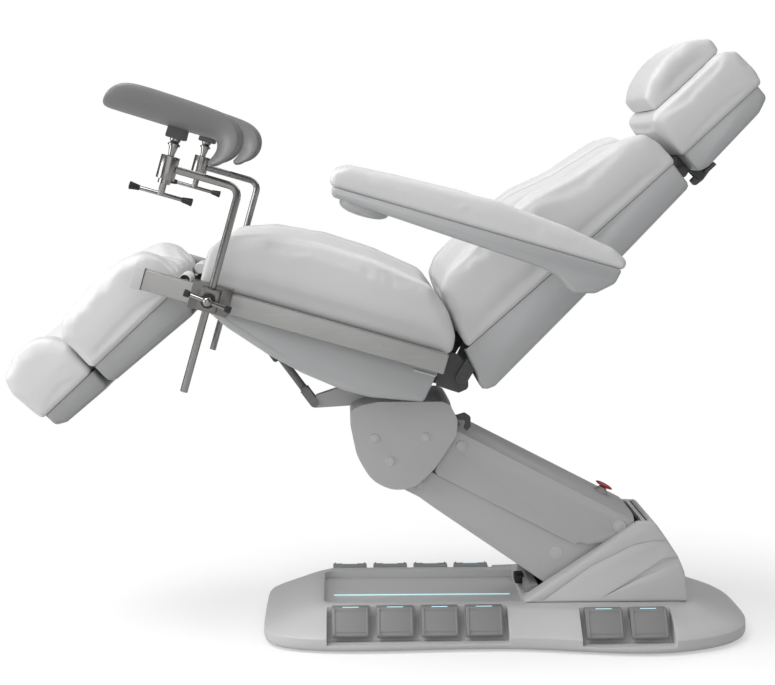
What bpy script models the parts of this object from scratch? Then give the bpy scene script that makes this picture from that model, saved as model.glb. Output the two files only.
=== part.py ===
"""Gynaecological treatment couch with a parallelogram lift, foot pedals and knee crutches.

Metres, +Z up, +X towards the head end, -Y on the patient's left. The origin is on the floor under
the middle of the couch. Side outlines are (x, z) pairs in the frame of the section that they belong
to, and each section's frame is an empty on its hinge, turned to the angle that it has at rest.
"""

from math import atan2, cos, degrees, hypot, pi, radians, sin, tan

import bmesh
import bpy
from mathutils import Matrix, Vector

# Fits
CLEAR = 0.0003          # between pieces that touch
PLAY = 0.0004           # between a pin and its hole
ROUND = 20              # sides of a small round piece

# Base
BASE_FRONT = -0.285
BASE_REAR = 0.835
BASE_LIFT = 0.006       # the cover's lower edge above the floor
BASE_EDGE = 0.033       # top of the upright side wall
DECK = 0.085            # top face of the base
FRONT_HALF = 0.250      # half widths along the base
WAIST_HALF = 0.2385
REAR_HALF = 0.298
FRONT_X = -0.130        # where those half widths lie
WAIST_X = 0.230
REAR_X = 0.660
FRONT_POWER = 6.0       # squareness of the two ends
REAR_POWER = 3.3
BASE_STEPS = 22
TRAY_FRONT = -0.147
TRAY_REAR = 0.312
TRAY_HALF = 0.132
TRAY_DEPTH = 0.017
CAVITY_HALF = 0.150     # hollow under the cover that holds the steel frame
CAVITY_TOP = 0.056
FOOT_RADIUS = 0.020
FRAME_BAR = 0.040
FRAME_LIFT = 0.014      # underside of the steel frame above the floor

# Pedals
PEDAL_WIDTH = 0.083
PEDAL_PITCH = 0.100
PEDAL_TRAVEL = 6.0      # degrees
FRONT_PEDAL_X = -0.086  # centre of the first pedal of each row
REAR_PEDAL_X = 0.480
FRONT_PEDALS = 4
REAR_PEDALS = FRONT_PEDALS // 2
PEDAL_TOP = 0.022       # ledge between the hinge and the tread
PEDAL_REACH = 0.058     # from the hinge to the tread's lower edge
PEDAL_DROP = 0.038
PEDAL_RISE = 0.016
PEDAL_INSET = 0.073     # from the base's edge in to the hinge
WELL_END = 0.012        # free width at each end of a pedal well

# Lift: two nested arms of equal length between two pairs of pivots
LOWER_PIVOT = (0.390, 0.186)
UPPER_PIVOT = (0.534, 0.250)
ARM_LENGTH = 0.412
LIFT_ANGLE = 27.3
CORE_IN = 0.0705        # inner face of the plates that carry the pivots
CORE_PLATE = 0.012
ARM_GAP = 0.004         # plate to lower arm, and upper arm to cheek
ARM_WALL = 0.005
NEST_GAP = 0.002        # lower arm inside the upper one
PIN = 0.012
LOWER_BEAM = 0.027      # half height of the lower arm
HOOD_TOP = 0.040        # upper arm above its pivots
HOOD_SHOULDER = 0.026
HOOD_BOTTOM = 0.085
CHEEK = 0.018

# Column cover
TOWER_TOE = 0.306
TOWER_HEEL = 0.686
TOWER_FOOT_HALF = 0.150
TOWER_TOP_HALF = 0.126
TOWER_SHOULDER = (0.572, 0.264)
TOWER_FLOOR = 0.010

# Emergency stop
STOP_X = -0.053         # along the upper arm from its base pivot
STOP_RADIUS = 0.021
STOP_STEM = 0.008
STOP_RISE = 0.012
STOP_RING = 0.005
STOP_TRAVEL = 0.004

# Seat
SEAT_HINGE = (0.016, 0.187)     # from the lift head's lower pivot
SEAT_ANGLE = 16.0
PLATE_LOW = 0.103
PLATE_HIGH = 0.130
PLATE_FRONT = -0.462
PLATE_REAR = 0.040
PLATE_HALF = 0.298      # half width of the seat's steel frame, which the rails are screwed to
RAIL_REVEAL = 0.018     # seat shell and cushion inside the steel frame's edge
SEAT_HALF = PLATE_HALF - RAIL_REVEAL
SHELL_WALL = 0.007
SHELL_EDGE = 0.011
RAIL_FRONT = -0.635
RAIL_REAR = 0.049
RAIL_Z = 0.112
RAIL_HEIGHT = 0.044
RAIL_THICK = 0.020
BACK_HINGE = (0.101, 0.082)
LEG_HINGE = (-0.520, 0.111)
LUG = 0.010             # thickness of hinge lugs and ears
LUG_RADIUS = 0.015
SMALL_PIN = 0.008
TILT_LUG_Y = 0.050      # inner face of the lift head's seat lugs
EAR_Y = 0.195           # inner face of the ears that carry the back
LEG_LUG_Y = 0.170

# Sections
BACK_ANGLE = -57.5      # from the seat
BACK_HALF = 0.250
BACK_TOP_HALF = 0.215
BACK_LENGTH = 0.650
LEG_ANGLE = -59.0       # from the seat
LEG_HALF = 0.232
FOOT_HALF = 0.205
FOOT_TRAVEL = 0.100
HEAD_HINGE = (BACK_LENGTH + 0.025, -0.002)
HEAD_ANGLE = -1.5       # from the back
HEAD_HALF = 0.150
PILLOW_HALF = 0.126
ARM_HINGE = (0.3305, 0.028)
ARM_INNER = PLATE_HALF + 0.064  # inner face of an armrest, clear of the rail and its clamps
ARM_WIDTH = 0.096

ARM_TOP = 0.034
LEVER_PIVOT = (0.032, -0.042)
LEVER_HALF = 0.010

# Crutches
ROD_X = -0.467
ROD_Y = PLATE_HALF + 0.052      # rods stand clear of the rails' outer faces
ROD_RADIUS = 0.008
ROD_LOW = -0.088
ROD_TOP = 0.352
ROD_BEND = 0.022
SLEEVE_X = -0.619
SLEEVE_RADIUS = 0.0195
SLEEVE_HALF = 0.024
CLAMP_LENGTH = 0.085
CLAMP_WALL = 0.007
SCREW_RADIUS = 0.007
BOSS_REACH = 0.017      # clamp beyond the rod's axis
HANDLE_HALF = 0.049
POST_RADIUS = 0.010
BAR_RADIUS = 0.0045
BAR_HALF = 0.066
CRUTCH_HALF = 0.072
CRUTCH_WALL = 0.014

# Drives
DRIVE_HALF = 0.026
ROD_THICK = 0.009
WEDGE_PIVOT = (-0.168, 0.526)   # world, at rest
WEDGE_HALF = 0.012
TILT_ANCHOR = (-0.395, 0.066)
BACK_ANCHOR = (-0.170, 0.050)
BACK_CRANK = (0.012, -0.0485)   # from the back hinge, in the seat's frame at rest
LEG_ANCHOR = (-0.190, 0.064)
LEG_CRANK = (0.0175, -0.0574)   # from the leg hinge, in the seat's frame at rest
LEG_DRIVE_Y = 0.110
LIFT_ANCHOR = 0.300             # along the lower arm from its base pivot
LIFT_LUG = (0.0288, 0.0638)     # from the lower base pivot

MATERIALS = {
    "upholstery": ((0.62, 0.62, 0.63), 0.55, 0.0),
    "shell": ((0.45, 0.46, 0.48), 0.42, 0.0),
    "lift_paint": ((0.40, 0.40, 0.41), 0.40, 0.0),
    "pedal_grey": ((0.22, 0.225, 0.23), 0.45, 0.0),
    "dark_steel": ((0.09, 0.09, 0.095), 0.5, 0.4),
    "bright_steel": ((0.62, 0.61, 0.60), 0.28, 1.0),
    "rail": ((0.42, 0.41, 0.40), 0.35, 0.8),
    "crutch_foam": ((0.16, 0.16, 0.165), 0.6, 0.0),
    "stop_red": ((0.42, 0.03, 0.05), 0.4, 0.0),
}

for old in list(bpy.data.objects):
    bpy.data.objects.remove(old, do_unlink=True)
COUCH = bpy.data.collections.new("treatment_couch")
CUTTERS = bpy.data.collections.new("cutters")
for group in (COUCH, CUTTERS):
    bpy.context.scene.collection.children.link(group)


def material(name):
    """The named material, made on first use."""
    found = bpy.data.materials.get(name)
    if found:
        return found
    colour, roughness, metallic = MATERIALS[name]
    made = bpy.data.materials.new(name)
    made.use_nodes = True
    shader = made.node_tree.nodes["Principled BSDF"]
    shader.inputs["Base Color"].default_value = (*colour, 1.0)
    shader.inputs["Roughness"].default_value = roughness
    shader.inputs["Metallic"].default_value = metallic
    return made


def frame(name, x=0.0, z=0.0, angle=0.0, parent=None, y=0.0):
    """An empty on a hinge's axis, turned about Y."""
    made = bpy.data.objects.new(name, None)
    made.empty_display_size = 0.03
    made.location = (x, y, z)
    made.rotation_euler = (0.0, radians(angle), 0.0)
    made.parent = parent
    COUCH.objects.link(made)
    return made


def piece(name, mesh, parent=None, finish=None):
    """A mesh object in the couch's collection."""
    made = bpy.data.objects.new(name, mesh)
    made.parent = parent
    if finish:
        mesh.materials.append(material(finish))
    COUCH.objects.link(made)
    return made


def modifier(obj, kind, **settings):
    """Adds a modifier with its settings."""
    made = obj.modifiers.new(kind.lower(), kind)
    for key, value in settings.items():
        setattr(made, key, value)
    return made


def soften(obj, width, segments=2, angle=50.0):
    """Rounds the edges that turn by more than an angle."""
    modifier(
        obj, "BEVEL", width=width, segments=segments, limit_method="ANGLE",
        angle_limit=radians(angle), use_clamp_overlap=False,
    )
    return obj


def boolean(obj, other, operation):
    """Joins another solid to this one or cuts it away, and files it with the cutters."""
    modifier(obj, "BOOLEAN", operation=operation, solver="EXACT", object=other)
    COUCH.objects.unlink(other)
    CUTTERS.objects.link(other)
    other.hide_render = True
    other.display_type = "WIRE"


def cut(obj, *others):
    for other in others:
        boolean(obj, other, "DIFFERENCE")
    return obj


def join(obj, *others):
    for other in others:
        boolean(obj, other, "UNION")
    return obj


def rounded(corners, steps=3):
    """An outline in which each (a, b, radius) corner is an arc of that radius."""
    points = []
    for index, corner in enumerate(corners):
        here = Vector(corner[:2])
        before = Vector(corners[index - 1][:2]) - here
        after = Vector(corners[(index + 1) % len(corners)][:2]) - here
        radius = corner[2] if len(corner) > 2 else 0.0
        if radius <= 0.0:
            points.append(tuple(here))
            continue
        half = before.angle(after) / 2
        reach = min(radius / tan(half), 0.48 * min(before.length, after.length))
        radius = reach * tan(half)
        start = here + before.normalized() * reach
        end = here + after.normalized() * reach
        towards = before.normalized() + after.normalized()
        centre = here + towards.normalized() * radius / sin(half)
        first = atan2(start.y - centre.y, start.x - centre.x)
        last = atan2(end.y - centre.y, end.x - centre.x)
        sweep = (last - first + pi) % (2 * pi) - pi
        for step in range(steps + 1):
            turn = first + sweep * step / steps
            points.append((centre.x + radius * cos(turn), centre.y + radius * sin(turn)))
    return points


def inset(outline, distance):
    """The outline moved inwards by a distance."""
    count = len(outline)
    area = sum(
        outline[i - 1][0] * outline[i][1] - outline[i][0] * outline[i - 1][1]
        for i in range(count)
    )
    side = 1.0 if area > 0 else -1.0
    moved = []
    for i in range(count):
        here = Vector(outline[i])
        into = (here - Vector(outline[i - 1])).normalized()
        away = (Vector(outline[(i + 1) % count]) - here).normalized()
        normal = Vector((-into.y - away.y, into.x + away.x)).normalized()
        share = max(0.35, normal.dot(Vector((-into.y, into.x))))
        moved.append(tuple(here + normal * side * distance / share))
    return moved


PLANES = {
    "XZ": Matrix(((1, 0, 0), (0, 0, -1), (0, 1, 0))),
    "YZ": Matrix(((0, 0, 1), (1, 0, 0), (0, 1, 0))),
    "XY": Matrix(((1, 0, 0), (0, 1, 0), (0, 0, 1))),
}


def prism(name, outline, low, high, parent=None, finish=None, plane="XZ"):
    """A flat outline given a thickness: from low to high across its plane."""
    curve = bpy.data.curves.new(name, "CURVE")
    curve.dimensions = "2D"
    curve.fill_mode = "BOTH"
    curve.extrude = (high - low) / 2
    spline = curve.splines.new("POLY")
    spline.points.add(len(outline) - 1)
    for point, (a, b) in zip(spline.points, outline):
        point.co = (a, b, 0.0, 1.0)
    spline.use_cyclic_u = True
    guide = bpy.data.objects.new(name + "_outline", curve)
    COUCH.objects.link(guide)
    mesh = solid_mesh(guide, name)
    turn = PLANES[plane].to_4x4()
    across = turn @ Vector((0.0, 0.0, 1.0))
    mesh.transform(turn)
    mesh.transform(Matrix.Translation(abs_axis(across) * (low + high) / 2))
    return piece(name, mesh, parent, finish)


def abs_axis(axis):
    """The positive direction of an axis."""
    return Vector([abs(round(value)) for value in axis])


def solid_mesh(guide, name):
    """The welded mesh of a curve object, which is then removed."""
    graph = bpy.context.evaluated_depsgraph_get()
    mesh = bpy.data.meshes.new_from_object(guide.evaluated_get(graph))
    mesh.name = name
    bpy.data.objects.remove(guide, do_unlink=True)
    work = bmesh.new()
    work.from_mesh(mesh)
    bmesh.ops.remove_doubles(work, verts=work.verts, dist=0.00002)
    bmesh.ops.dissolve_limit(
        work, angle_limit=radians(0.3), verts=work.verts, edges=work.edges
    )
    bmesh.ops.recalc_face_normals(work, faces=work.faces)
    work.to_mesh(mesh)
    work.free()
    return mesh


def box(name, low, high, parent=None, finish=None):
    """A block between two corners."""
    work = bmesh.new()
    bmesh.ops.create_cube(work, size=1.0)
    size = [high[i] - low[i] for i in range(3)]
    middle = [(high[i] + low[i]) / 2 for i in range(3)]
    bmesh.ops.scale(work, vec=size, verts=work.verts)
    bmesh.ops.translate(work, vec=middle, verts=work.verts)
    mesh = bpy.data.meshes.new(name)
    work.to_mesh(mesh)
    work.free()
    return piece(name, mesh, parent, finish)


def bar(name, start, end, radius, parent=None, finish=None, end_radius=None, sides=ROUND):
    """A round bar, or a cone, from one point to another."""
    start, end = Vector(start), Vector(end)
    work = bmesh.new()
    bmesh.ops.create_cone(
        work, cap_ends=True, segments=sides, radius1=radius,
        radius2=radius if end_radius is None else end_radius, depth=(end - start).length,
    )
    turn = (end - start).to_track_quat("Z", "Y").to_matrix().to_4x4()
    bmesh.ops.transform(
        work, matrix=Matrix.Translation((start + end) / 2) @ turn, verts=work.verts
    )
    mesh = bpy.data.meshes.new(name)
    work.to_mesh(mesh)
    work.free()
    made = piece(name, mesh, parent, finish)
    smooth(made)
    return made


def smooth(obj):
    """Smooth shading that keeps the sharp edges."""
    obj.data.shade_smooth()
    obj.data.set_sharp_from_angle(angle=radians(35))


def pin(name, x, z, radius, low, high, parent=None, finish=None, sides=ROUND):
    """A round bar along Y."""
    return bar(name, (x, low, z), (x, high, z), radius, parent, finish, sides=sides)


def tube(name, points, radius, parent=None, finish=None):
    """A round bar along a route."""
    curve = bpy.data.curves.new(name, "CURVE")
    curve.dimensions = "3D"
    curve.bevel_depth = radius
    curve.bevel_resolution = 2
    curve.use_fill_caps = True
    spline = curve.splines.new("POLY")
    spline.points.add(len(points) - 1)
    for point, place in zip(spline.points, points):
        point.co = (*place, 1.0)
    guide = bpy.data.objects.new(name + "_route", curve)
    COUCH.objects.link(guide)
    made = piece(name, solid_mesh(guide, name), parent, finish)
    smooth(made)
    return made


def lug(name, x, z, radius, reach, low, high, parent=None, finish=None):
    """A plate with a round end at (x, z) and a square foot at reach=(x, z)."""
    away = Vector((reach[0] - x, reach[1] - z))
    side = Vector((-away.y, away.x)).normalized() * radius
    outline = []
    start = atan2(side.y, side.x)
    for step in range(9):
        turn = start + pi * step / 8
        outline.append((x + radius * cos(turn), z + radius * sin(turn)))
    outline.append((x - side.x + away.x, z - side.y + away.y))
    outline.append((x + side.x + away.x, z + side.y + away.y))
    return prism(name, outline, low, high, parent, finish)


def both_sides(make):
    """Makes a piece on the left, then on the right: make(sign, low, high)."""
    return [make(sign) for sign in (-1, 1)]


def span(sign, inner, outer):
    """The low and high ends of a stretch across one side of the couch."""
    return (inner, outer) if sign > 0 else (-outer, -inner)


# Widths of the nested lift, from the middle outwards
CORE_OUT = CORE_IN + CORE_PLATE
LOWER_IN = CORE_OUT + ARM_GAP
LOWER_OUT = LOWER_IN + ARM_WALL
UPPER_IN = LOWER_OUT + NEST_GAP
UPPER_OUT = UPPER_IN + ARM_WALL
CHEEK_IN = UPPER_OUT + ARM_GAP
CHEEK_OUT = CHEEK_IN + CHEEK


def half_width(x):
    """Half the base's width at x: an hourglass that is wider at the head end."""
    if x < WAIST_X:
        share = (WAIST_X - x) / (WAIST_X - FRONT_X)
        wide = FRONT_HALF
    else:
        share = (x - WAIST_X) / (REAR_X - WAIST_X)
        wide = REAR_HALF
    share = min(1.0, share)
    return WAIST_HALF + (wide - WAIST_HALF) * share * share * (3 - 2 * share)


def base_ring(front_cut, side_cut, rear_cut):
    """One level of the base's plan, as points from the rear round by the right side."""
    low = BASE_FRONT + front_cut
    high = BASE_REAR - rear_cut
    right = []
    for step in range(BASE_STEPS + 1):
        along = cos(pi * step / BASE_STEPS)
        power = REAR_POWER if along > 0 else FRONT_POWER
        x = (low + high) / 2 + (high - low) / 2 * along
        rest = max(0.0, 1.0 - abs(along) ** power) ** (1.0 / power)
        right.append((x, (half_width(x) - side_cut) * rest))
    left = [(x, -y) for x, y in right[1:-1]]
    return right + left[::-1]


def loft(name, rings, parent=None, finish=None):
    """A closed skin through rings that have as many points each."""
    work = bmesh.new()
    loops = [[work.verts.new(point) for point in ring] for ring in rings]
    for lower, upper in zip(loops, loops[1:]):
        for i in range(len(lower)):
            j = (i + 1) % len(lower)
            work.faces.new((lower[i], lower[j], upper[j], upper[i]))
    work.faces.new(loops[0][::-1])
    work.faces.new(loops[-1])
    bmesh.ops.recalc_face_normals(work, faces=work.faces)
    mesh = bpy.data.meshes.new(name)
    work.to_mesh(mesh)
    work.free()
    return piece(name, mesh, parent, finish)


def pedal_rows():
    """Each row of pedals: its name, its first centre and how many it holds."""
    return (
        ("front", FRONT_PEDAL_X, FRONT_PEDALS),
        ("rear", REAR_PEDAL_X, REAR_PEDALS),
    )


def pedal_hinge(row_x, count):
    """Half the distance between the hinges of a row's two sides."""
    ends = (row_x - PEDAL_WIDTH / 2, row_x + (count - 1) * PEDAL_PITCH + PEDAL_WIDTH / 2)
    return min(half_width(x) for x in ends) - PEDAL_INSET


def base_cover():
    """The moulded base: a loft from the skirt up to the deck, with tray and pedal wells."""
    slope = DECK - BASE_EDGE
    levels = (
        (BASE_LIFT, 0.005, 0.005, 0.005),
        (BASE_LIFT + 0.008, 0.0, 0.0, 0.0),
        (BASE_EDGE, 0.001, 0.001, 0.001),
        (BASE_EDGE + 0.10 * slope, 0.010, 0.006, 0.010),
        (BASE_EDGE + 0.45 * slope, 0.050, 0.028, 0.058),
        (BASE_EDGE + 0.80 * slope, 0.092, 0.049, 0.100),
        (DECK, 0.124, 0.064, 0.136),
    )
    rings = [
        [(x, y, z) for x, y in base_ring(front, side, rear)] for z, front, side, rear in levels
    ]
    cover = loft("base_cover", rings, finish="lift_paint")
    tray = prism(
        "tray_cutter",
        rounded([
            (TRAY_FRONT, -TRAY_HALF, 0.022), (TRAY_REAR, -TRAY_HALF),
            (TRAY_REAR, TRAY_HALF), (TRAY_FRONT, TRAY_HALF, 0.022),
        ]),
        DECK - TRAY_DEPTH, DECK + TRAY_DEPTH, plane="XY",
    )
    under = box(
        "cavity_cutter", (BASE_FRONT + 0.05, -CAVITY_HALF, -0.02),
        (BASE_REAR - 0.075, CAVITY_HALF, CAVITY_TOP),
    )
    neck = box(
        "neck_cutter", (TOWER_TOE + 0.03, -UPPER_IN, CAVITY_TOP - 0.01),
        (TOWER_HEEL - 0.05, UPPER_IN, DECK + 0.01),
    )
    cut(cover, tray, under, neck)
    for row, first, count in pedal_rows():
        hinge = pedal_hinge(first, count)
        low = first - PEDAL_WIDTH / 2 - WELL_END
        high = first + (count - 1) * PEDAL_PITCH + PEDAL_WIDTH / 2 + WELL_END
        for side, sign in (("left", -1), ("right", 1)):
            wall = hinge - 0.006 - CLEAR
            top = DECK + 0.02
            floor = pedal_height() - PEDAL_DROP - 0.016
            outline = [
                (wall, top), (wall, pedal_height() - 0.014),
                (hinge + 0.040, floor), (hinge + PEDAL_REACH + 0.030, floor),
                (hinge + PEDAL_REACH + 0.030, top),
            ]
            outline = [(sign * a, b) for a, b in outline]
            cut(cover, prism(f"well_{row}_{side}", outline, low, high, plane="YZ"))
    return cover


def pedal_height():
    """Height of the pedal hinges."""
    return DECK + 0.004 - PEDAL_RISE


def pedal(name, x, sign, hinge):
    """One foot pedal: a ledge with a sloping tread that carries a raised pad."""
    axis = frame(name + "_axis", x, pedal_height(), y=sign * hinge)
    outline = rounded([
        (-0.006, 0.0), (-0.006, PEDAL_RISE - 0.002, 0.003), (PEDAL_TOP, PEDAL_RISE, 0.004),
        (PEDAL_REACH, -PEDAL_DROP, 0.003), (PEDAL_REACH - 0.007, -PEDAL_DROP - 0.006),
        (0.014, -0.006),
    ], steps=2)
    outline = [(sign * a, b) for a, b in outline]
    made = prism(
        name, outline, -PEDAL_WIDTH / 2, PEDAL_WIDTH / 2, axis, "pedal_grey", plane="YZ"
    )
    work = bmesh.new()
    work.from_mesh(made.data)
    tread = max(work.faces, key=lambda face: face.calc_area() * (face.normal.z > 0.3))
    bmesh.ops.inset_individual(work, faces=[tread], thickness=0.007)
    bmesh.ops.inset_individual(work, faces=[tread], thickness=0.0025, depth=0.002)
    work.to_mesh(made.data)
    work.free()
    return made


def base_frame():
    """The welded steel frame in the base, with the plates and pins that carry the arms."""
    low_x, high_x = BASE_FRONT + 0.058, BASE_REAR - 0.083
    half = CAVITY_HALF - 0.008
    top = CAVITY_TOP - CLEAR
    made = box("base_frame", (low_x, -half, FRAME_LIFT), (high_x, half, top), finish="dark_steel")
    bays = ((low_x + FRAME_BAR, 0.120), (0.120 + FRAME_BAR, 0.330), (0.640, high_x - FRAME_BAR))
    for index, (start, end) in enumerate(bays):
        inner = half - FRAME_BAR
        cut(made, box(f"bay_{index}", (start, -inner, 0.0), (end, inner, DECK)))
    for x in (low_x + 0.03, (low_x + high_x) / 2, high_x - 0.03):
        for sign in (-1, 1):
            y = sign * (half - 0.024)
            join(made, bar(f"foot_{x:.2f}_{sign}", (x, y, 0.0), (x, y, FRAME_LIFT + 0.004),
                           FOOT_RADIUS, sides=16))
    (low_px, low_pz), (up_px, up_pz) = LOWER_PIVOT, UPPER_PIVOT
    outline = rounded([
        (low_px - 0.040, FRAME_LIFT + 0.010), (up_px + 0.060, FRAME_LIFT + 0.010),
        (up_px + 0.024, up_pz + 0.004, 0.02), (up_px - 0.004, up_pz + 0.024, 0.02),
        (low_px + LIFT_LUG[0] - 0.006, low_pz + LIFT_LUG[1] + 0.016, 0.014),
        (low_px - 0.022, low_pz + 0.010, 0.02),
    ])
    for sign in (-1, 1):
        join(made, prism(f"upright_{sign}", outline, *span(sign, CORE_IN, CORE_OUT)))
    reach = LOWER_OUT + NEST_GAP / 2
    join(made, pin("lower_base_pin", low_px, low_pz, PIN, -reach, reach))
    reach = UPPER_OUT + 0.001
    join(made, pin("upper_base_pin", up_px, up_pz, PIN, -reach, reach))
    x, z = low_px + LIFT_LUG[0], low_pz + LIFT_LUG[1]
    join(made, box("lift_crossbar", (x + 0.019, -CORE_IN - 0.002, z - 0.012),
                   (x + 0.033, CORE_IN + 0.002, z + 0.012)))
    join(made, lug("lift_lug", x, z, 0.010, (x + 0.025, z), -0.006, 0.006))
    return made


def column_cover():
    """The moulded cover round the foot of the arms, open to the front and above them."""
    low = DECK + CLEAR
    sx, sz = TOWER_SHOULDER
    outline = rounded([
        (TOWER_TOE, low), (sx, sz, 0.016), (sx + 0.040, sz - 0.002, 0.016),
        (sx + 0.068, sz - 0.042, 0.03), (TOWER_HEEL - 0.022, sz - 0.079, 0.03),
        (TOWER_HEEL - 0.008, low + 0.065, 0.03), (TOWER_HEEL, low),
    ])
    made = prism("column_cover", outline, -TOWER_FOOT_HALF, TOWER_FOOT_HALF, finish="lift_paint")
    taper(made, low, TOWER_FOOT_HALF, sz, TOWER_TOP_HALF)
    soften(made, 0.007)
    channel = prism("channel_cutter", [
        (TOWER_TOE - 0.04, low + TOWER_FLOOR), (TOWER_HEEL - 0.030, low + TOWER_FLOOR),
        (TOWER_HEEL - 0.038, low + 0.070), (sx + 0.043, sz - 0.046), (sx + 0.012, sz - 0.012),
        (sx + 0.012, sz + 0.1), (TOWER_TOE - 0.04, sz + 0.1),
    ], -CHEEK_IN, CHEEK_IN)
    floor_gap = box("floor_cutter", (TOWER_TOE - 0.04, -UPPER_IN, low - 0.01),
                    (TOWER_HEEL - 0.050, UPPER_IN, low + 0.03))
    cut(made, channel, floor_gap)
    return made


def taper(obj, low_z, low_half, high_z, high_half):
    """Draws the sides of a prism in towards the top by a straight draft."""
    for vertex in obj.data.vertices:
        share = (vertex.co.z - low_z) / (high_z - low_z)
        half = low_half + (high_half - low_half) * share
        vertex.co.y = half if vertex.co.y > 0 else -half


def lower_arm(axis):
    """The inner arm: an open channel whose floor stops short of the pivots."""
    end = ARM_LENGTH + LOWER_BEAM
    outline = rounded([
        (-end, -LOWER_BEAM, LOWER_BEAM * 0.9), (LOWER_BEAM, -LOWER_BEAM, LOWER_BEAM * 0.9),
        (LOWER_BEAM, LOWER_BEAM, LOWER_BEAM * 0.9), (-end, LOWER_BEAM, LOWER_BEAM * 0.9),
    ])
    made = prism("lower_arm", outline, -LOWER_OUT, LOWER_OUT, axis, "lift_paint")
    cut(
        made,
        box("channel", (-end - 0.01, -LOWER_IN, -LOWER_BEAM + ARM_WALL), (0.05, LOWER_IN, 0.05), axis),
        box("base_end", (-0.068, -LOWER_IN, -0.05), (0.06, LOWER_IN, 0.04), axis),
        box("head_end", (-end - 0.02, -LOWER_IN, -0.05), (-ARM_LENGTH + 0.068, LOWER_IN, 0.04), axis),
        pin("base_hole", 0.0, 0.0, PIN + PLAY, -0.2, 0.2, axis),
        pin("head_hole", -ARM_LENGTH, 0.0, PIN + PLAY, -0.2, 0.2, axis),
    )
    anchor = -LIFT_ANCHOR
    beam = -LOWER_BEAM + 0.003
    join(
        made,
        lug("drive_lug", anchor, 0.0, 0.010, (anchor, beam), -0.006, 0.006, axis),
    )
    return made


def upper_arm(axis):
    """The outer arm: a hood over the inner one, with sloping shoulders."""
    end = ARM_LENGTH + 0.028
    outline = rounded([
        (-end, HOOD_TOP, 0.012), (-end, -HOOD_BOTTOM, 0.014), (-0.072, -HOOD_BOTTOM),
        (-0.066, -HOOD_BOTTOM + 0.011, 0.009), (-0.046, -HOOD_BOTTOM + 0.014, 0.006),
        (0.020, -0.028, 0.02), (0.030, 0.0, 0.02), (0.020, HOOD_TOP, 0.014),
    ])
    made = prism("upper_arm", outline, -UPPER_OUT, UPPER_OUT, axis, "lift_paint")
    drop = HOOD_TOP - HOOD_SHOULDER
    for sign in (-1, 1):
        corner = [
            (sign * (UPPER_OUT - 2.2 * drop), HOOD_TOP + 0.0005), (sign * (UPPER_OUT + 0.02), HOOD_TOP + 0.01),
            (sign * (UPPER_OUT + 0.0005), HOOD_SHOULDER),
        ]
        cut(made, prism(f"shoulder_{sign}", corner, -end - 0.02, 0.06, axis, plane="YZ"))
    inner_top = HOOD_SHOULDER - ARM_WALL
    hollow = [
        (-UPPER_IN, -0.2), (-UPPER_IN, inner_top), (-UPPER_IN + 0.022, inner_top + drop),
        (UPPER_IN - 0.022, inner_top + drop), (UPPER_IN, inner_top), (UPPER_IN, -0.2),
    ]
    cut(
        made,
        prism("hollow", hollow, -end - 0.02, 0.06, axis, plane="YZ"),
        pin("base_hole_u", 0.0, 0.0, PIN + PLAY, -0.2, 0.2, axis),
        pin("head_hole_u", -ARM_LENGTH, 0.0, PIN + PLAY, -0.2, 0.2, axis),
    )
    ring = bar("stop_ring", (STOP_X, 0, HOOD_TOP - 0.003), (STOP_X, 0, HOOD_TOP + STOP_RING), 0.014, axis)
    bore = bar("stop_bore", (STOP_X, 0, 0.0), (STOP_X, 0, HOOD_TOP + 0.02), STOP_STEM + PLAY, axis)
    join(made, ring)
    cut(made, bore)
    return made


def estop_button(axis):
    """A mushroom head on a stem, turned about the stem's axis."""
    top = HOOD_TOP + STOP_RING + STOP_TRAVEL + STOP_RISE
    head = top - 0.010
    profile = [
        (0.0, top), (STOP_RADIUS * 0.7, top - 0.001), (STOP_RADIUS * 0.97, top - 0.003),
        (STOP_RADIUS, top - 0.005), (STOP_RADIUS * 0.86, head + 0.0035), (STOP_RADIUS * 0.6, head + 0.001),
        (STOP_STEM, head), (STOP_STEM, HOOD_TOP - 0.003), (0.0, HOOD_TOP - 0.003),
    ]
    mesh = bpy.data.meshes.new("estop_button")
    edges = [(i, i + 1) for i in range(len(profile) - 1)]
    mesh.from_pydata([(r, 0.0, z) for r, z in profile], edges, [])
    made = piece("estop_button", mesh, axis, "stop_red")
    made.location = (STOP_X, 0.0, 0.0)
    modifier(
        made, "SCREW", angle=2 * pi, steps=ROUND, render_steps=ROUND, axis="Z",
        use_merge_vertices=True, merge_threshold=0.0001, use_smooth_shade=True,
    )
    return made


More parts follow.
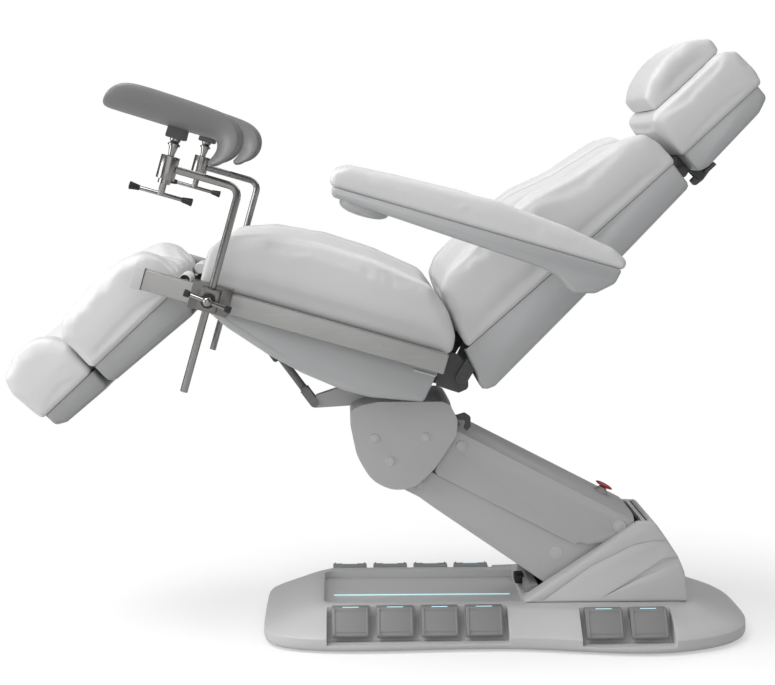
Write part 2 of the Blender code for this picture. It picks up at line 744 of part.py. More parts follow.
def lift_head(axis):
    """The head of the lift: cheeks outside the arms, plates inside them, and the seat's lugs."""
    upper = (UPPER_PIVOT[0] - LOWER_PIVOT[0], UPPER_PIVOT[1] - LOWER_PIVOT[1])
    outline = rounded([
        (-0.106, 0.150, 0.012), (-0.106, 0.120, 0.03), (-0.092, 0.050, 0.05), (-0.060, -0.008, 0.05),
        (-0.014, -0.030, 0.05), (0.034, -0.027, 0.04), (0.080, 0.018, 0.05), (0.128, 0.092, 0.012),
        (0.131, 0.128, 0.014), (0.112, 0.163, 0.012), (0.090, 0.170, 0.012), (-0.034, 0.170, 0.012),
        (-0.082, 0.160, 0.012),
    ], steps=2)
    made = prism("lift_head", outline, -CHEEK_OUT, CHEEK_OUT, axis, "lift_paint")
    soften(made, 0.006, 2)
    roof = 0.150
    inside = prism("head_channel", [
        (-0.082, roof), (-0.072, 0.040), (-0.045, -0.005), (-0.030, -0.06), (0.3, -0.06), (0.3, roof),
    ], -CHEEK_IN, CHEEK_IN, axis)
    cut(made, inside)
    plate = rounded([
        (-0.070, roof + 0.006), (-0.040, 0.030, 0.02), (-0.012, -0.020, 0.016), (0.020, -0.020, 0.016),
        (upper[0] - 0.010, upper[1] - 0.026, 0.018), (upper[0] + 0.024, upper[1] - 0.014, 0.02),
        (upper[0] + 0.016, upper[1] + 0.018, 0.016), (upper[0] - 0.040, upper[1] + 0.020, 0.010),
        (0.080, roof + 0.006),
    ])
    for sign in (-1, 1):
        join(made, prism(f"core_{sign}", plate, *span(sign, CORE_IN, CORE_OUT), axis))
    reach = LOWER_OUT + NEST_GAP / 2
    join(made, pin("lower_head_pin", 0.0, 0.0, PIN, -reach, reach, axis))
    reach = UPPER_OUT + 0.001
    join(made, pin("upper_head_pin", *upper, PIN, -reach, reach, axis))
    hx, hz = SEAT_HINGE
    for sign in (-1, 1):
        join(made, lug(f"seat_lug_{sign}", hx, hz, LUG_RADIUS, (hx, roof + 0.010),
                       *span(sign, TILT_LUG_Y, TILT_LUG_Y + LUG), axis))
    reach = TILT_LUG_Y + 2 * LUG + CLEAR
    join(made, pin("seat_pin", hx, hz, SMALL_PIN, -reach, reach, axis))
    wx, wz = wedge_pivot()
    wedge = rounded([
        (wx - 0.004, wz - 0.012, 0.010), (wx + 0.092, wz - 0.006), (-0.040, roof + 0.004),
        (-0.030, 0.166), (wx + 0.100, wz + 0.026, 0.01), (wx + 0.053, wz + 0.034, 0.01),
        (wx + 0.006, wz + 0.018), (wx - 0.010, wz + 0.004, 0.008),
    ])
    join(made, prism("wedge", wedge, -WEDGE_HALF, WEDGE_HALF, axis))
    hook = rounded([
        (0.120, 0.133), (0.150, 0.142, 0.006), (0.163, 0.133, 0.008), (0.163, 0.110, 0.008),
        (0.155, 0.101, 0.003), (0.149, 0.108, 0.004), (0.152, 0.116), (0.152, 0.126, 0.004), (0.138, 0.127),
        (0.120, 0.122),
    ], steps=2)
    join(made, prism("hook", hook, -CHEEK_IN - 0.006, -UPPER_OUT - 0.0015, axis))
    return made


def head_origin():
    """The lift head's lower pivot, at rest."""
    turn = radians(LIFT_ANGLE)
    return (
        LOWER_PIVOT[0] - ARM_LENGTH * cos(turn),
        LOWER_PIVOT[1] + ARM_LENGTH * sin(turn),
    )


def wedge_pivot():
    """The tilt drive's lower pivot, from the lift head's lower pivot."""
    x, z = head_origin()
    return WEDGE_PIVOT[0] - x, WEDGE_PIVOT[1] - z


def drive(name, start, end, share, y, parent, tip_half=0.006):
    """A linear drive from its anchor to its lug: a motor body with an eye, and a rod.

    start and end are in the parent's frame. The body takes a share of the length. The rod's eye
    lies beside the lug, a small gap away, so that it can follow the lug's arc.
    """
    reach = Vector((end[0] - start[0], end[1] - start[1]))
    length = reach.length
    angle = degrees(atan2(-reach.y, reach.x))
    axis = frame(name + "_axis", start[0], start[1], angle, parent, y)
    split = length * share
    body = box(
        name + "_body", (0.012, -DRIVE_HALF + 0.006, -0.017), (split, DRIVE_HALF - 0.006, 0.017),
        axis, "dark_steel",
    )
    soften(body, 0.004, 1)
    for sign in (-1, 1):
        eye = lug(f"{name}_eye_{sign}", 0.0, 0.0, 0.011, (0.020, 0.0),
                  *span(sign, 0.0063, 0.0123), axis)
        join(body, eye)
    cut(body, bar(name + "_bore", (0.022, 0, 0), (split + 0.01, 0, 0), ROD_THICK + PLAY, axis))
    rod = bar(name + "_rod", (split * 0.55, 0, 0), (length - 0.034, 0, 0), ROD_THICK, axis,
              "bright_steel", sides=16)
    yoke = tip_half + CLEAR + 0.004
    join(rod, box(name + "_yoke", (length - 0.045, -yoke, -0.0075), (length - 0.032, yoke, 0.0075), axis))
    for sign in (-1, 1):
        join(rod, lug(f"{name}_tip_{sign}", length, 0.0, 0.010, (length - 0.040, 0.0),
                      *span(sign, tip_half + CLEAR, tip_half + CLEAR + 0.005), axis))


def tub(name, outline, half, top, wall, edge, parent, finish, taper_to=None):
    """A thin-walled shell with this side outline and a flat rim, open at the top."""
    raised = [(x, top + 0.03 if z > top - 0.0001 else z) for x, z in outline]
    made = prism(name, raised, -half, half, parent, finish)
    inner = [
        (x, top + 0.05 if z > top - wall * 1.2 else z) for x, z in inset(outline, wall)
    ]
    ends = [x for x, z in outline]
    lid = box(name + "_lid", (min(ends) - 0.02, -half - 0.02, top), (max(ends) + 0.02, half + 0.02, top + 0.1),
              parent)
    hollow = prism(name + "_hollow", inner, -half + wall, half - wall, parent)
    if taper_to:
        start, end, slim = taper_to
        narrow(made, start, end, half, slim)
        narrow(hollow, start, end, half - wall, slim - wall)
    soften(made, edge, 2, 65.0)
    soften(hollow, edge - wall * 0.5, 1, 65.0)
    return cut(made, lid, hollow)


def cushion(name, outline, half, edge, parent, steps=3):
    """A padded block with this side outline and rounded sides."""
    made = prism(name, rounded(outline, steps), -half, half, parent, "upholstery")
    return soften(made, edge, 2)


def seat(axis):
    """The seat section: its steel frame, moulded shell, cushion and side rails."""
    made = box("seat_frame", (PLATE_FRONT, -PLATE_HALF, PLATE_LOW), (PLATE_REAR, PLATE_HALF, PLATE_HIGH),
               axis, "dark_steel")
    for sign in (-1, 1):
        low, high = span(sign, 0.060, PLATE_HALF - 0.045)
        cut(made, box(f"bay_f_{sign}", (PLATE_FRONT + 0.05, low, 0.0), (-0.235, high, 0.2), axis))
        cut(made, box(f"bay_r_{sign}", (-0.185, low, 0.0), (PLATE_REAR - 0.06, high, 0.2), axis))
        inner = TILT_LUG_Y + LUG + CLEAR
        join(made, lug(f"tilt_lug_{sign}", 0.0, 0.0, LUG_RADIUS, (0.0, PLATE_LOW + 0.01),
                       *span(sign, inner, inner + LUG), axis))
        bx, bz = BACK_HINGE
        ear = rounded([
            (bx - 0.066, PLATE_HIGH - 0.002), (bx - 0.049, bz - 0.033), (bx + 0.003, bz - 0.035, 0.006),
            (bx + 0.021, bz - 0.020, 0.010), (bx + 0.006, bz + 0.026, 0.012), (bx - 0.020, bz + 0.046, 0.006),
        ])
        join(made, prism(f"ear_{sign}", ear, *span(sign, EAR_Y, EAR_Y + LUG), axis))
        lx, lz = LEG_HINGE
        arm = [
            (PLATE_FRONT + 0.010, PLATE_LOW + 0.002), (PLATE_FRONT + 0.010, PLATE_HIGH - 0.002),
            (lx, lz + 0.013), (lx - 0.009, lz + 0.009), (lx - 0.013, lz), (lx - 0.009, lz - 0.009), (lx, lz - 0.013),
        ]
        join(made, prism(f"leg_arm_{sign}", arm, *span(sign, LEG_LUG_Y, LEG_LUG_Y + LUG), axis))
        join(made, pin(f"leg_pin_{sign}", lx, lz, SMALL_PIN,
                       *span(sign, LEG_LUG_Y, LEG_LUG_Y + 2 * LUG + CLEAR), axis))
        join(made, pin(f"back_pin_{sign}", bx, bz, SMALL_PIN,
                       *span(sign, EAR_Y, EAR_Y + 2 * LUG + CLEAR), axis))
    cut(made, pin("tilt_hole", 0.0, 0.0, SMALL_PIN + PLAY, -0.1, 0.1, axis))
    for name, place, y in (
        ("tilt_anchor", TILT_ANCHOR, 0.0), ("back_anchor", BACK_ANCHOR, 0.0), ("leg_anchor", LEG_ANCHOR, LEG_DRIVE_Y),
    ):
        join(made, lug(name, *place, 0.010, (place[0], PLATE_LOW + 0.004), y - 0.006, y + 0.006, axis))
    join(made, box("leg_anchor_bar", (LEG_ANCHOR[0] - 0.012, LEG_DRIVE_Y - 0.058, PLATE_LOW + 0.003),
                   (LEG_ANCHOR[0] + 0.012, LEG_DRIVE_Y + 0.058, PLATE_HIGH - 0.004), axis))

    top = PLATE_LOW - CLEAR
    outline = rounded([
        (-0.470, top), (-0.467, 0.078, 0.008), (-0.419, 0.056, 0.05), (-0.316, 0.023, 0.08),
        (-0.242, 0.006, 0.08), (-0.150, -0.006, 0.08), (-0.085, -0.006, 0.08), (0.029, 0.016, 0.010),
        (0.048, top),
    ], steps=2)
    shell = tub("seat_shell", outline, SEAT_HALF, top, SHELL_WALL, SHELL_EDGE, axis, "shell")
    cut(
        shell,
        box("notch_front", (-0.50, -0.215, -0.05), (-0.345, 0.215, 0.090), axis),
        box("slot_centre", (-0.36, -0.048, -0.05), (-0.10, 0.048, 0.080), axis),
        box("slot_lugs", (-0.12, -0.085, -0.05), (0.022, 0.085, 0.070), axis),
        box("window_rear", (0.0, -0.028, 0.020), (0.08, 0.028, 0.075), axis),
    )
    for sign in (-1, 1):
        low, high = span(sign, EAR_Y - 0.003, EAR_Y + LUG + 0.003)
        cut(shell, box(f"ear_notch_{sign}", (0.030, low, 0.072), (0.07, high, 0.12), axis))

    bottom = PLATE_HIGH + CLEAR
    cushion("seat_cushion", [
        (-0.503, bottom), (-0.506, 0.200, 0.03), (-0.484, 0.236, 0.03), (-0.396, 0.268, 0.1),
        (-0.278, 0.281, 0.15), (-0.154, 0.276, 0.12), (-0.024, 0.256, 0.035), (0.029, 0.214, 0.04),
        (0.058, 0.160, 0.03), (0.050, bottom),
    ], SEAT_HALF, 0.024, axis)

    for side, sign in (("left", -1), ("right", 1)):
        low, high = span(sign, PLATE_HALF + CLEAR, PLATE_HALF + CLEAR + RAIL_THICK)
        rail = box(f"side_rail_{side}", (RAIL_FRONT, low, RAIL_Z - RAIL_HEIGHT / 2),
                   (RAIL_REAR, high, RAIL_Z + RAIL_HEIGHT / 2), axis, "rail")
        soften(rail, 0.002, 1)
        inner_low, inner_high = span(sign, PLATE_HALF - 0.02, PLATE_HALF + CLEAR + 0.007)
        front_cut = box(f"rail_back_{side}", (RAIL_FRONT + 0.012, inner_low, RAIL_Z - 0.010),
                        (PLATE_FRONT - 0.03, inner_high, RAIL_Z + 0.010), axis)
        cut(rail, front_cut)


def back(axis):
    """The back section: frame with hinge links and crank, shell and cushion."""
    made = box("back_frame", (0.066, -0.205, 0.020), (BACK_LENGTH - 0.045, 0.205, 0.0455), axis, "dark_steel")
    for sign in (-1, 1):
        low, high = span(sign, 0.030, 0.165)
        cut(made, box(f"bay_a_{sign}", (0.110, low, 0.0), (0.285, high, 0.1), axis))
        cut(made, box(f"bay_b_{sign}", (0.375, low, 0.0), (BACK_LENGTH - 0.085, high, 0.1), axis))
        inner = EAR_Y + LUG + CLEAR
        link = lug(f"link_{sign}", 0.0, 0.0, LUG_RADIUS - 0.001, (0.085, 0.026), *span(sign, inner, inner + LUG), axis)
        join(made, link)
        join(made, box(f"link_foot_{sign}", (0.070, *span(sign, 0.19, inner + LUG)[:1], 0.022),
                       (0.094, *span(sign, 0.19, inner + LUG)[1:], 0.0445), axis))
        join(made, pin(f"arm_shaft_{sign}", *ARM_HINGE, 0.011,
                       *span(sign, 0.150, ARM_INNER + 0.030), axis))
        join(made, lug(f"head_lug_{sign}", *HEAD_HINGE, 0.012, (BACK_LENGTH - 0.060, 0.030),
                       *span(sign, 0.058, 0.068), axis))
        join(made, pin(f"head_pin_{sign}", *HEAD_HINGE, 0.006, *span(sign, 0.046, 0.068), axis))
    cut(made, pin("back_hole", 0.0, 0.0, SMALL_PIN + PLAY, -0.3, 0.3, axis))
    crank = seat_to_section(BACK_CRANK, BACK_ANGLE)
    outline = [
        (0.080, 0.022), (0.080, 0.042), (0.012, 0.012), (crank[0] - 0.006, crank[1] + 0.010),
        (crank[0] - 0.010, crank[1]), (crank[0] - 0.005, crank[1] - 0.009), (crank[0] + 0.006, crank[1] - 0.009),
        (0.016, -0.012),
    ]
    join(made, prism("crank", outline, -0.006, 0.006, axis))

    top = 0.0455
    outline = rounded([
        (0.052, top), (0.030, -0.010, 0.03), (0.012, -0.046, 0.014), (0.042, -0.058, 0.014),
        (BACK_LENGTH - 0.004, -0.015, 0.012), (BACK_LENGTH + 0.002, top),
    ], steps=2)
    shell = tub("back_shell", outline, BACK_HALF - 0.006, top, SHELL_WALL, SHELL_EDGE, axis, "shell",
                (0.30, BACK_LENGTH, BACK_TOP_HALF - 0.004))
    cut(shell, box("back_notch", (-0.05, -0.222, -0.030), (0.066, 0.222, 0.06), axis))
    for sign in (-1, 1):
        low, high = span(sign, BACK_HALF - 0.03, BACK_HALF + 0.03)
        cut(shell, pin(f"shaft_hole_{sign}", *ARM_HINGE, 0.011 + 0.002, low, high, axis))
        low, high = span(sign, 0.040, 0.075)
        cut(shell, box(f"head_notch_{sign}", (BACK_LENGTH - 0.03, low, -0.016), (BACK_LENGTH + 0.03, high, 0.06), axis))

    bottom = top + CLEAR
    pad = cushion("back_cushion", [
        (0.050, bottom), (0.066, 0.100, 0.05), (0.090, 0.182, 0.026), (0.122, 0.200, 0.03),
        (0.230, 0.207, 0.10), (0.370, 0.201, 0.12), (BACK_LENGTH - 0.185, 0.178, 0.10),
        (BACK_LENGTH - 0.050, 0.155, 0.06), (BACK_LENGTH - 0.002, 0.130, 0.026), (BACK_LENGTH + 0.009, 0.080, 0.04),
        (BACK_LENGTH + 0.005, bottom),
    ], BACK_HALF, 0.022, axis)
    narrow(pad, 0.30, BACK_LENGTH, BACK_HALF, BACK_TOP_HALF)


def seat_to_section(offset, angle):
    """An offset from a section's hinge in the seat's frame, in the section's own frame."""
    turn = radians(angle)
    x, z = offset
    return x * cos(turn) - z * sin(turn), x * sin(turn) + z * cos(turn)


def narrow(obj, start, end, wide, slim):
    """Draws the sides of a prism in along X, from a start to an end."""
    work = bmesh.new()
    work.from_mesh(obj.data)
    bmesh.ops.bisect_plane(
        work, geom=work.verts[:] + work.edges[:] + work.faces[:], plane_co=(start, 0, 0), plane_no=(1, 0, 0)
    )
    for vertex in work.verts:
        share = max(0.0, (vertex.co.x - start) / (end - start))
        vertex.co.y *= 1.0 - (1.0 - slim / wide) * share
    work.to_mesh(obj.data)
    work.free()


def leg(axis):
    """The leg section and the sliding foot section."""
    made = box("leg_frame", (-0.262, -0.200, -0.004), (-0.052, 0.200, 0.0177), axis, "dark_steel")
    cut(made, box("leg_bay", (-0.225, -0.150, -0.05), (-0.095, 0.150, 0.05), axis))
    for sign in (-1, 1):
        inner = LEG_LUG_Y + LUG + CLEAR
        link = lug(f"leg_link_{sign}", 0.0, 0.0, 0.013, (-0.070, 0.004), *span(sign, inner, inner + LUG), axis)
        join(made, link)
        slot = box(f"slide_{sign}", (-0.30, *span(sign, 0.1195, 0.1405)[:1], 0.0017), (-0.08, *span(sign, 0.1195, 0.1405)[1:], 0.0143), axis)
        cut(made, slot)
    cut(made, pin("leg_hole", 0.0, 0.0, SMALL_PIN + PLAY, -0.3, 0.3, axis))
    crank = seat_to_section(LEG_CRANK, LEG_ANGLE)
    outline = [
        (-0.094, 0.010), (-0.058, 0.014), (-0.020, -0.018), (crank[0] + 0.010, crank[1]),
        (crank[0], crank[1] - 0.009), (crank[0] - 0.010, crank[1]), (-0.070, -0.004),
    ]
    join(made, prism("leg_crank", outline, LEG_DRIVE_Y - 0.006, LEG_DRIVE_Y + 0.006, axis))

    top = 0.0177
    outline = rounded([
        (-0.270, top), (-0.270, -0.022, 0.010), (-0.256, -0.034, 0.010), (-0.036, -0.046, 0.010),
        (-0.025, -0.030, 0.010), (-0.025, top),
    ], steps=2)
    shell = tub("leg_shell", outline, LEG_HALF - 0.008, top, SHELL_WALL - 0.002, SHELL_EDGE - 0.003, axis, "shell")
    cut(
        shell,
        box("leg_notch", (-0.050, -0.205, -0.020), (0.02, 0.205, 0.05), axis),
        box("crank_notch", (-0.085, LEG_DRIVE_Y - 0.030, -0.08), (0.02, LEG_DRIVE_Y + 0.030, 0.05), axis),
        box("foot_notch", (-0.30, -0.160, -0.016), (-0.255, 0.160, 0.05), axis),
    )
    cushion("leg_cushion", [
        (-0.272, top + CLEAR), (-0.277, 0.100, 0.03), (-0.262, 0.122, 0.03), (-0.205, 0.146, 0.06),
        (-0.123, 0.152, 0.08), (-0.040, 0.136, 0.05), (0.000, 0.100, 0.03), (0.004, 0.050, 0.03),
        (-0.020, top + CLEAR),
    ], LEG_HALF, 0.022, axis)

    foot = frame("foot_axis", -0.280, 0.0, 0.0, axis)
    made = box("foot_frame", (-0.138, -0.160, -0.004), (-0.009, 0.160, 0.0137), foot, "dark_steel")
    for sign in (-1, 1):
        low, high = span(sign, 0.120, 0.140)
        join(made, box(f"slide_bar_{sign}", (-0.03, low, 0.002), (0.150, high, 0.014), foot))
    outline = rounded([
        (-0.151, 0.0137), (-0.148, -0.016, 0.012), (-0.125, -0.028, 0.012), (-0.004, -0.034, 0.010),
        (-0.003, 0.0137),
    ], steps=2)
    shell = tub("foot_shell", outline, FOOT_HALF - 0.008, 0.0137, SHELL_WALL - 0.002, SHELL_EDGE - 0.003, foot, "shell")
    cut(shell, box("bar_notch", (-0.012, -0.150, -0.006), (0.02, 0.150, 0.05), foot))
    cushion("foot_cushion", [
        (-0.150, 0.0140), (-0.157, 0.120, 0.03), (-0.118, 0.148, 0.05),
        (-0.060, 0.151, 0.05), (-0.016, 0.130, 0.04), (-0.001, 0.100, 0.03), (-0.001, 0.0140),
    ], FOOT_HALF, 0.022, foot)


def head(axis):
    """The head section: bracket, shell, cushion, strapped pillow and release lever."""
    made_top = 0.0382
    outline = [
        (-0.012, -0.010), (-0.012, 0.010), (0.024, made_top), (0.215, made_top), (0.215, 0.031),
        (0.050, 0.027), (0.016, -0.010), (0.0, -0.014),
    ]
    made = prism("head_frame", outline, -0.057, 0.057, axis, "dark_steel")
    cut(made, pin("head_hole", 0.0, 0.0, 0.006 + PLAY, -0.1, 0.1, axis))
    px, pz = LEVER_PIVOT
    inner = LEVER_HALF + CLEAR
    for sign in (-1, 1):
        join(made, lug(f"lever_lug_{sign}", px, pz, 0.008, (px - 0.004, 0.028),
                       *span(sign, inner, inner + 0.006), axis))
    join(made, pin("lever_pin", px, pz, 0.004, -inner - 0.006, inner + 0.006, axis))

    outline = rounded([
        (0.016, made_top), (0.014, -0.012, 0.012), (0.040, -0.019, 0.02), (0.200, -0.008, 0.03),
        (0.234, 0.006, 0.012), (0.238, made_top),
    ], steps=2)
    shell = tub("head_shell", outline, HEAD_HALF - 0.006, made_top, SHELL_WALL - 0.002,
                SHELL_EDGE - 0.003, axis, "shell")
    cut(shell, box("hinge_notch", (-0.02, -0.075, -0.03), (0.045, 0.075, 0.06), axis))

    bottom = made_top + CLEAR
    cushion("head_cushion", [
        (0.010, bottom), (0.010, 0.146, 0.018), (0.220, 0.147, 0.02), (0.249, 0.130, 0.02),
        (0.254, 0.070, 0.04), (0.248, bottom),
    ], HEAD_HALF, 0.014, axis)
    cushion("head_pillow", [
        (0.036, 0.1473 + CLEAR), (0.040, 0.186, 0.02), (0.082, 0.212, 0.06), (0.130, 0.220, 0.08),
        (0.190, 0.211, 0.05), (0.232, 0.178, 0.022), (0.224, 0.1473 + CLEAR),
    ], PILLOW_HALF, 0.016, axis)

    lever_axis = frame("head_lever_axis", px, pz, 0.0, axis)
    lever = prism("head_lever", rounded([
        (-0.022, 0.005, 0.003), (-0.022, -0.011, 0.004), (0.0, -0.013, 0.01), (0.044, -0.004, 0.003),
        (0.044, 0.004, 0.003), (0.010, 0.006),
    ], steps=2), -LEVER_HALF, LEVER_HALF, lever_axis, "shell")
    join(lever, box("paddle", (0.013, -0.028, -0.005), (0.043, 0.028, 0.003), lever_axis))
    cut(lever, pin("lever_hole", 0.0, 0.0, 0.004 + PLAY, -0.1, 0.1, lever_axis))


def armrest(side, sign, axis):
    """An armrest and its pad; the shaft from the back enters it from the inside."""
    low, high = span(sign, ARM_INNER, ARM_INNER + ARM_WIDTH)
    outline = rounded([
        (-0.541, ARM_TOP), (-0.536, 0.014, 0.012), (-0.276, 0.003, 0.2), (-0.086, -0.007, 0.03),
        (-0.053, -0.015, 0.03), (-0.015, -0.039, 0.020), (0.029, -0.027, 0.020), (0.062, 0.003, 0.020),
        (0.068, ARM_TOP),
    ])
    made = prism(f"armrest_{side}", outline, low, high, axis, "shell")
    soften(made, 0.007, 2, 65.0)
    middle = (low + high) / 2
    join(made, bar(f"dome_{side}", (-0.456, middle, 0.014), (-0.456, middle, -0.005), 0.037, axis,
                   end_radius=0.028))
    hole_low, hole_high = span(sign, ARM_INNER - 0.01, ARM_INNER + 0.0305)
    cut(made, pin(f"shaft_bore_{side}", 0.0, 0.0, 0.011 + PLAY, hole_low, hole_high, axis))

    bottom = ARM_TOP + CLEAR
    pad = prism(f"arm_pad_{side}", rounded([
        (-0.543, bottom), (-0.550, 0.058, 0.018), (-0.530, 0.075, 0.02), (-0.409, 0.084, 0.1),
        (-0.213, 0.094, 0.12), (-0.062, 0.083, 0.1), (0.040, 0.069, 0.03), (0.072, 0.055, 0.018),
        (0.075, bottom),
    ]), low, high, axis, "upholstery")
    soften(pad, 0.014, 2)


def crutch_ring(floor, rim):
    """A U-shaped section of the trough between its lowest point and its two rims."""
    floor, rim = Vector(floor), Vector(rim)
    share = CRUTCH_WALL / (rim - floor).length
    outer, inner = [], []
    for step in range(11):
        turn = pi * step / 10
        drop = 1.0 - sin(turn) ** 0.9
        place = floor.lerp(rim, drop)
        outer.append((place.x, CRUTCH_HALF * cos(turn), place.y))
        place = floor.lerp(rim, share + (1.0 - share) * drop)
        inner.append((place.x, (CRUTCH_HALF - CRUTCH_WALL) * cos(turn), place.y))
    return outer + inner[::-1]


def support(side, sign, axis):
    """A knee crutch with its rod, rail clamp and two screws."""
    rail_in = PLATE_HALF + CLEAR
    rail_out = rail_in + RAIL_THICK
    low, high = RAIL_Z - RAIL_HEIGHT / 2, RAIL_Z + RAIL_HEIGHT / 2
    lip = rail_in - 0.008
    face = rail_out + CLEAR + CLAMP_WALL
    outline = [
        (lip, PLATE_HIGH + 0.0006), (rail_in - CLEAR, PLATE_HIGH + 0.0006), (rail_in - CLEAR, high + CLEAR),
        (rail_out + CLEAR, high + CLEAR), (rail_out + CLEAR, low - CLEAR), (rail_in - CLEAR, low - CLEAR),
        (rail_in - CLEAR, PLATE_LOW - 0.002), (lip, PLATE_LOW - 0.002), (lip, low - CLEAR - CLAMP_WALL),
        (face, low - CLEAR - CLAMP_WALL), (face, high + CLEAR + CLAMP_WALL), (lip, high + CLEAR + CLAMP_WALL),
    ]
    outline = [(sign * a, b) for a, b in outline]
    clamp = prism(f"rail_clamp_{side}", outline, ROD_X - CLAMP_LENGTH / 2, ROD_X + CLAMP_LENGTH / 2,
                  axis, "bright_steel", plane="YZ")
    boss_low, boss_high = span(sign, face - 0.003, ROD_Y + BOSS_REACH)
    boss = box(f"boss_{side}", (ROD_X - 0.020, boss_low, low - 0.002), (ROD_X + 0.020, boss_high, high + 0.002), axis)
    y = sign * ROD_Y
    join(clamp, boss)
    cut(clamp, bar(f"rod_hole_{side}", (ROD_X, y, 0.0), (ROD_X, y, 0.3), ROD_RADIUS + PLAY, axis))
    hole = span(sign, ROD_Y, ROD_Y + BOSS_REACH + 0.01)
    cut(clamp, pin(f"screw_hole_{side}", ROD_X, RAIL_Z, SCREW_RADIUS + PLAY, *hole, axis))

    turn = frame(f"clamp_handle_axis_{side}", ROD_X, RAIL_Z, 0.0, axis, y)
    reach = BOSS_REACH + CLEAR
    handle = pin(f"clamp_handle_{side}", 0.0, 0.0, SCREW_RADIUS, *span(sign, ROD_RADIUS + 0.0008, 0.040),
                 turn, "bright_steel")
    join(handle, pin(f"collar_{side}", 0.0, 0.0, 0.012, *span(sign, reach, reach + 0.008), turn))
    place = sign * 0.035
    tilt = 0.10
    join(handle, bar(f"clamp_bar_{side}", (-HANDLE_HALF, place, HANDLE_HALF * tilt),
                     (HANDLE_HALF, place, -HANDLE_HALF * tilt), BAR_RADIUS, turn, sides=12))

    route = [(ROD_X, y, ROD_LOW), (ROD_X, y, ROD_TOP - ROD_BEND)]
    for step in range(1, 6):
        bend = pi / 2 * step / 5
        route.append((ROD_X - ROD_BEND * (1 - cos(bend)), y, ROD_TOP - ROD_BEND * (1 - sin(bend))))
    route.append((SLEEVE_X + 0.014, y, ROD_TOP))
    rod = tube(f"support_rod_{side}", route, ROD_RADIUS, axis, "bright_steel")
    low, high = ROD_TOP - SLEEVE_HALF, ROD_TOP + SLEEVE_HALF
    join(rod, bar(f"sleeve_{side}", (SLEEVE_X, y, low), (SLEEVE_X, y, high), SLEEVE_RADIUS, axis))
    split = ROD_TOP - 0.004
    cut(
        rod,
        bar(f"post_bore_{side}", (SLEEVE_X, y, split), (SLEEVE_X, y, high + 0.02), POST_RADIUS + PLAY, axis),
        bar(f"screw_bore_{side}", (SLEEVE_X, y, low - 0.02), (SLEEVE_X, y, split + 0.002), SCREW_RADIUS + PLAY, axis),
    )

    turn = frame(f"t_screw_axis_{side}", SLEEVE_X, low, 0.0, axis, y)
    screw = bar(f"t_screw_{side}", (0, 0, -0.034), (0, 0, 0.018), SCREW_RADIUS, turn, "bright_steel")
    join(screw, bar(f"screw_collar_{side}", (0, 0, -0.010), (0, 0, -CLEAR), 0.013, turn))
    join(screw, bar(f"screw_bar_{side}", (-BAR_HALF, 0, -0.0315), (BAR_HALF, 0, -0.0315), BAR_RADIUS, turn, sides=12))

    turn = frame(f"crutch_axis_{side}", SLEEVE_X, high, 0.0, axis, y)
    lines = (
        ((-0.160, 0.074), (-0.130, 0.121)), ((-0.140, 0.060), (-0.105, 0.118)), ((-0.050, 0.058), (-0.035, 0.114)),
        ((0.020, 0.054), (0.050, 0.106)), ((0.058, 0.032), (0.102, 0.092)), ((0.084, 0.003), (0.133, 0.052)),
    )
    made = loft(f"crutch_{side}", [crutch_ring(*line) for line in lines], turn, "crutch_foam")
    join(
        made,
        box(f"block_{side}", (-0.019, -0.024, 0.036), (0.021, 0.024, 0.066), turn),
        bar(f"post_{side}", (0, 0, -0.026), (0, 0, 0.045), POST_RADIUS, turn),
        bar(f"post_collar_{side}", (0, 0, CLEAR), (0, 0, 0.012), 0.015, turn),
    )


def assemble():
    """Builds the couch from the floor up."""
    base_cover()
    base_frame()
    column_cover()
    for row, first, count in pedal_rows():
        hinge = pedal_hinge(first, count)
        for index in range(count):
            for side, sign in (("left", -1), ("right", 1)):
                pedal(f"pedal_{row}_{side}_{index + 1}", first + index * PEDAL_PITCH, sign, hinge)

    lower_axis = frame("lower_arm_axis", *LOWER_PIVOT, LIFT_ANGLE)
    upper_axis = frame("upper_arm_axis", *UPPER_PIVOT, LIFT_ANGLE)
    lift_axis = frame("lift_head_axis", *head_origin())
    lower_arm(lower_axis)
    upper_arm(upper_axis)
    estop_button(upper_axis)
    lift_head(lift_axis)

    seat_axis = frame("seat_axis", *SEAT_HINGE, SEAT_ANGLE, lift_axis)
    back_axis = frame("back_axis", *BACK_HINGE, BACK_ANGLE, seat_axis)
    leg_axis = frame("leg_axis", *LEG_HINGE, LEG_ANGLE, seat_axis)
    head_axis = frame("head_axis", *HEAD_HINGE, HEAD_ANGLE, back_axis)
    seat(seat_axis)
    back(back_axis)
    leg(leg_axis)
    head(head_axis)
    for side, sign in (("left", -1), ("right", 1)):
        armrest(side, sign, frame(f"armrest_axis_{side}", *ARM_HINGE, -BACK_ANGLE, back_axis))
        support(side, sign, seat_axis)

    turn = radians(LIFT_ANGLE)
    x, z = LIFT_LUG
    lug_place = (x * cos(turn) - z * sin(turn), x * sin(turn) + z * cos(turn))
    drive("lift_actuator", (-LIFT_ANCHOR, 0.0), lug_place, 0.60, 0.0, lower_axis)
    wx, wz = wedge_pivot()
    wx, wz = wx - SEAT_HINGE[0], wz - SEAT_HINGE[1]
    turn = radians(SEAT_ANGLE)
    pivot = (wx * cos(turn) - wz * sin(turn), wx * sin(turn) + wz * cos(turn))
    drive("tilt_actuator", TILT_ANCHOR, pivot, 0.50, 0.0, seat_axis, WEDGE_HALF)
    crank = (BACK_HINGE[0] + BACK_CRANK[0], BACK_HINGE[1] + BACK_CRANK[1])
    drive("back_actuator", BACK_ANCHOR, crank, 0.60, 0.0, seat_axis)
    crank = (LEG_HINGE[0] + LEG_CRANK[0], LEG_HINGE[1] + LEG_CRANK[1])
    drive("leg_actuator", LEG_ANCHOR, crank, 0.55, LEG_DRIVE_Y, seat_axis)


assemble()
